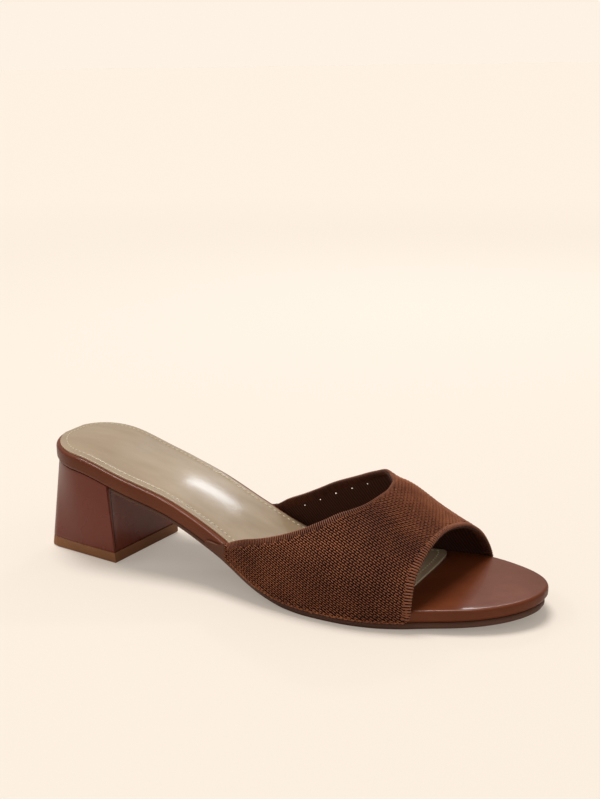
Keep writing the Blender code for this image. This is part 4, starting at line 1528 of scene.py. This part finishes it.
# %% Corner tabs
TAB_PROUD = 0.42 * MM
TAB_ROUND = 0.12 * MM
TAB_SINK = -0.5 * MM
TAB_INSET = 0.35 * MM / SHOE_LENGTH
TAB_OVERHANG = 0.5 * MM / SHOE_LENGTH
TAB_REACH = 1.27
TAB_TAIL = 0.035
TAIL_FROM = 1.10
TAIL_OVER = 0.06
TAB_GRID = (26, 8)


def build_tab(name, side):
    """A thin closed patch over the end of the wall."""
    rows, columns = TAB_GRID
    front = tab_front(side)
    verts = []
    for proud, room in ((TAB_PROUD, TAB_INSET), (TAB_PROUD - TAB_ROUND, 0.0), (TAB_SINK, 0.0)):
        for i in range(rows):
            girth = side * mix(TAB_TOP, TAB_REACH, i / (rows - 1))
            back = smooth(COLLAR, 1, girth) - TAB_OVERHANG
            tail = TAB_TAIL * min(1.0, max(0.0, (abs(girth) - TAIL_FROM) / TAIL_OVER))
            verts += [vamp_point(mix(back + room, front + tail - room, j / (columns - 1)), girth, proud)
                      for j in range(columns)]
    border = [(0, j) for j in range(columns)] + [(i, columns - 1) for i in range(1, rows)]
    border += [(rows - 1, j) for j in range(columns - 2, -1, -1)] + [(i, 0) for i in range(rows - 2, 0, -1)]
    size = rows * columns
    faces = []
    for level in (0, 2):
        for i in range(rows - 1):
            for j in range(columns - 1):
                a = level * size + i * columns + j
                faces.append((a, a + 1, a + columns + 1, a + columns))
    for level in (0, 1):
        for (i0, j0), (i1, j1) in zip(border, border[1:] + border[:1]):
            a, b = level * size + i0 * columns + j0, level * size + i1 * columns + j1
            faces.append((a, b, b + size, a + size))
    obj = piece(name, verts, faces, [TAB])
    loose = bmesh.new()
    loose.from_mesh(obj.data)
    bmesh.ops.delete(loose, geom=[v for v in loose.verts if not v.link_faces], context="VERTS")
    loose.to_mesh(obj.data)
    loose.free()
    return obj


for tab_name, tab_side in (("outer_tab", LATERAL), ("inner_tab", MEDIAL)):
    place(build_tab(tab_name, tab_side), "knit")

# %% [markdown]
# A seam runs round the sock, and its thread shows as a row of short dashes in the groove. The
# same line tree lays them: the guide is the groove itself, closed into a loop.

# %% Stitches of the sock
DASH_STEP = 2.6 * MM
DASH_LENGTH = 1.7 * MM
DASH_WIDTH = 0.6 * MM
DASH_DEPTH = 0.5 * MM
DASH_RISE = 0.12 * MM


def build_dash():
    verts, faces = [], []
    path = [(share * DASH_LENGTH / 2, 0.0, up * DASH_DEPTH / 2)
            for share, up in ((-1.0, -1.0), (-0.75, -0.2), (0.0, 0.2), (0.75, -0.2), (1.0, -1.0))]
    tube(verts, faces, path, (0.0, 1.0, 0.0), [share * DASH_WIDTH for share in (0.8, 1.0, 0.8)],
         [share * DASH_DEPTH for share in (0.8, 1.0, 0.8)], around=6)
    return piece("one_dash", verts, faces, [THREAD])


def sock_guide(name, lift_up):
    """The groove round the sock, as a closed line."""
    outline = sock_outline(SEAM_INSET)
    deeper = sock_outline(SEAM_INSET + 0.5 * MM)
    points = [(x, y, sock_height(x, lift_up)) for x, y in outline]
    ups, inwards = [], []
    for (x, y), (u, v) in zip(outline, deeper):
        slope = (topside(x + 1.0 * MM) - topside(x - 1.0 * MM)) / (2.0 * MM)
        ups.append(Vector((-slope, 0.0, 1.0)).normalized())
        inwards.append(Vector((u - x, v - y, 0.0)).normalized())
    return guide_line(name, points, ups, inwards, closed=True)


dash = build_dash()
sock_seam = grow(sock_guide("seam_guide", SEAM_HEIGHT + DASH_RISE), LINE_TREE,
                 {"Shape": dash, "Step": DASH_STEP, "Unevenness": 0.06, "Seed": 7, "Finish": THREAD},
                 "sock_seam")
bpy.data.objects.remove(dash)
place(sock_seam, "sock_lining")

# %% [markdown]
# The photograph is taken from the shoe's outer side, a little ahead of it and above. The camera
# is set from those angles, its distance and the place of the picture's axis.

# %% Camera
CAMERA_AZIMUTH = math.radians(27.15)
CAMERA_ELEVATION = math.radians(19.04)
CAMERA_ROLL = math.radians(-0.81)
CAMERA_DISTANCE = 0.600
CAMERA_TARGET = Vector((0.0946, -0.0049, 0.025))
SENSOR_HEIGHT = 36.0
PICTURE_SIZE = (600, 799)
TARGET_PIXEL = (281.16, 520.13)
FOCAL_PIXELS = 1362.7


def build_camera():
    c, s = math.cos(CAMERA_ELEVATION), math.sin(CAMERA_ELEVATION)
    back = Vector((math.sin(CAMERA_AZIMUTH) * c, -math.cos(CAMERA_AZIMUTH) * c, s))
    right = Vector((math.cos(CAMERA_AZIMUTH), math.sin(CAMERA_AZIMUTH), 0.0))
    up = back.cross(right)
    picture_right = math.cos(CAMERA_ROLL) * right + math.sin(CAMERA_ROLL) * up
    picture_up = -math.sin(CAMERA_ROLL) * right + math.cos(CAMERA_ROLL) * up
    placed = Matrix((picture_right, picture_up, back)).transposed().to_4x4()
    placed.translation = CAMERA_TARGET + CAMERA_DISTANCE * back
    lens = bpy.data.cameras.new("camera")
    lens.sensor_fit = "VERTICAL"
    lens.sensor_height = SENSOR_HEIGHT
    lens.lens = SENSOR_HEIGHT * FOCAL_PIXELS / PICTURE_SIZE[1]
    lens.shift_x = (PICTURE_SIZE[0] / 2 - TARGET_PIXEL[0]) / PICTURE_SIZE[1]
    lens.shift_y = (TARGET_PIXEL[1] - PICTURE_SIZE[1] / 2) / PICTURE_SIZE[1]
    lens.clip_start = 0.01
    obj = bpy.data.objects.new("camera", lens)
    obj.matrix_world = placed
    bpy.context.scene.collection.objects.link(obj)
    bpy.context.scene.camera = obj
    return obj


camera = build_camera()
print("lens", round(camera.data.lens, 1), "mm")

# %% [markdown]
# The shoe stands on a plain cream floor in soft light, as in a small product studio. A flat disc
# far wider than the picture gives an even floor from every side. The camera sees the air in the
# same cream, while the shoe is lit by a dimmer sky, so the paper stays pale and leather stays
# deep. The floor glows faintly, for the camera alone, and a little more with distance, so that
# no line shows where the floor meets the air.

# %% Floor and air
PAPER = colour(254, 242, 228)
PAPER_GLOW = 0.285
FAR_GLOW = 0.055
PAPER_ALBEDO = 0.69
SKY = 0.34
SKY_TINT = (1.0, 0.96, 0.90)
FLOOR_RADIUS = 20.0
FLOOR_SIDES = 64
FLOOR_MIDDLE = 0.09
GLOW_RISES_FROM = 0.7
GLOW_RISES_TO = 1.6


def camera_ray(tree):
    return put(tree, "ShaderNodeLightPath").outputs["Is Camera Ray"]


def build_floor():
    verts = [(FLOOR_MIDDLE, 0.0, 0.0)]
    verts += [(FLOOR_MIDDLE + FLOOR_RADIUS * math.cos(2 * math.pi * k / FLOOR_SIDES),
               FLOOR_RADIUS * math.sin(2 * math.pi * k / FLOOR_SIDES), 0.0) for k in range(FLOOR_SIDES)]
    faces = [(0, 1 + k, 1 + (k + 1) % FLOOR_SIDES) for k in range(FLOOR_SIDES)]
    material = bpy.data.materials.new("paper_floor")
    material.use_nodes = True
    tree = material.node_tree
    shader = tree.nodes["Principled BSDF"]
    shader.inputs["Base Color"].default_value = tuple(PAPER_ALBEDO * c for c in PAPER[:3]) + (1.0,)
    shader.inputs["Roughness"].default_value = 1.0
    shader.inputs["Specular IOR Level"].default_value = 0.0
    shader.inputs["Emission Color"].default_value = PAPER
    where = put(tree, "ShaderNodeTexCoord").outputs["Object"]
    far = put(tree, "ShaderNodeVectorMath", {0: where}, operation="LENGTH")
    level = put(tree, "ShaderNodeMapRange",
                {"Value": far.outputs["Value"], "From Min": GLOW_RISES_FROM, "From Max": GLOW_RISES_TO,
                 "To Min": PAPER_GLOW, "To Max": PAPER_GLOW + FAR_GLOW})
    glow = sums(tree, "MULTIPLY", camera_ray(tree), level.outputs[0])
    tree.links.new(glow, shader.inputs["Emission Strength"])
    obj = piece("studio_floor", verts, faces, [material], flip_check=False)
    return obj


def build_air():
    world = bpy.data.worlds.new("studio_air")
    world.use_nodes = True
    tree = world.node_tree
    air = tree.nodes["Background"]
    seen = put(tree, "ShaderNodeMix", {"Factor": camera_ray(tree)}, data_type="RGBA")
    seen.inputs[6].default_value = tuple(SKY * tint for tint in SKY_TINT) + (1.0,)
    seen.inputs[7].default_value = PAPER
    tree.links.new(seen.outputs[2], air.inputs["Color"])
    bpy.context.scene.world = world


floor = build_floor()
build_air()
print("floor", len(floor.data.polygons), "faces, air", bpy.context.scene.world.name)

# %% [markdown]
# Three lamps do the rest. A broad soft sun from above and behind gives the shadow in front of the
# shoe. A small cool window behind glints on the sock. A thin strip on the near side draws a line
# of light on the footbed's glossy edge.

# %% Lamps


def aimed(name, lamp, place_at, aim):
    """Put a lamp in its place, turned towards its aim."""
    obj = bpy.data.objects.new(name, lamp)
    obj.location = place_at
    obj.rotation_euler = (Vector(aim) - Vector(place_at)).to_track_quat("-Z", "Y").to_euler()
    bpy.context.scene.collection.objects.link(obj)
    return obj


def panel(name, width, height, watts, tint, place_at, aim):
    """A flat rectangular lamp."""
    lamp = bpy.data.lights.new(name, "AREA")
    lamp.shape = "RECTANGLE"
    lamp.size = width
    lamp.size_y = height
    lamp.energy = watts
    lamp.color = tint
    return aimed(name, lamp, place_at, aim)


AIM = (0.09, 0.0, 0.02)
key = bpy.data.lights.new("key_from_behind", "SUN")
key.energy = 2.03
key.angle = math.radians(26)
aimed("key_from_behind", key, (-0.12, 0.17, 0.99), AIM)
panel("window_behind", 0.16, 0.06, 0.7, (0.88, 0.94, 1.0), (-0.10, 0.815, 0.575), (0.06, -0.01, 0.035))
panel("strip_in_front", 0.55, 0.014, 0.45, (1.0, 1.0, 1.0), (-0.45, -0.28, 0.70), AIM)
bpy.context.scene.view_settings.view_transform = "Standard"
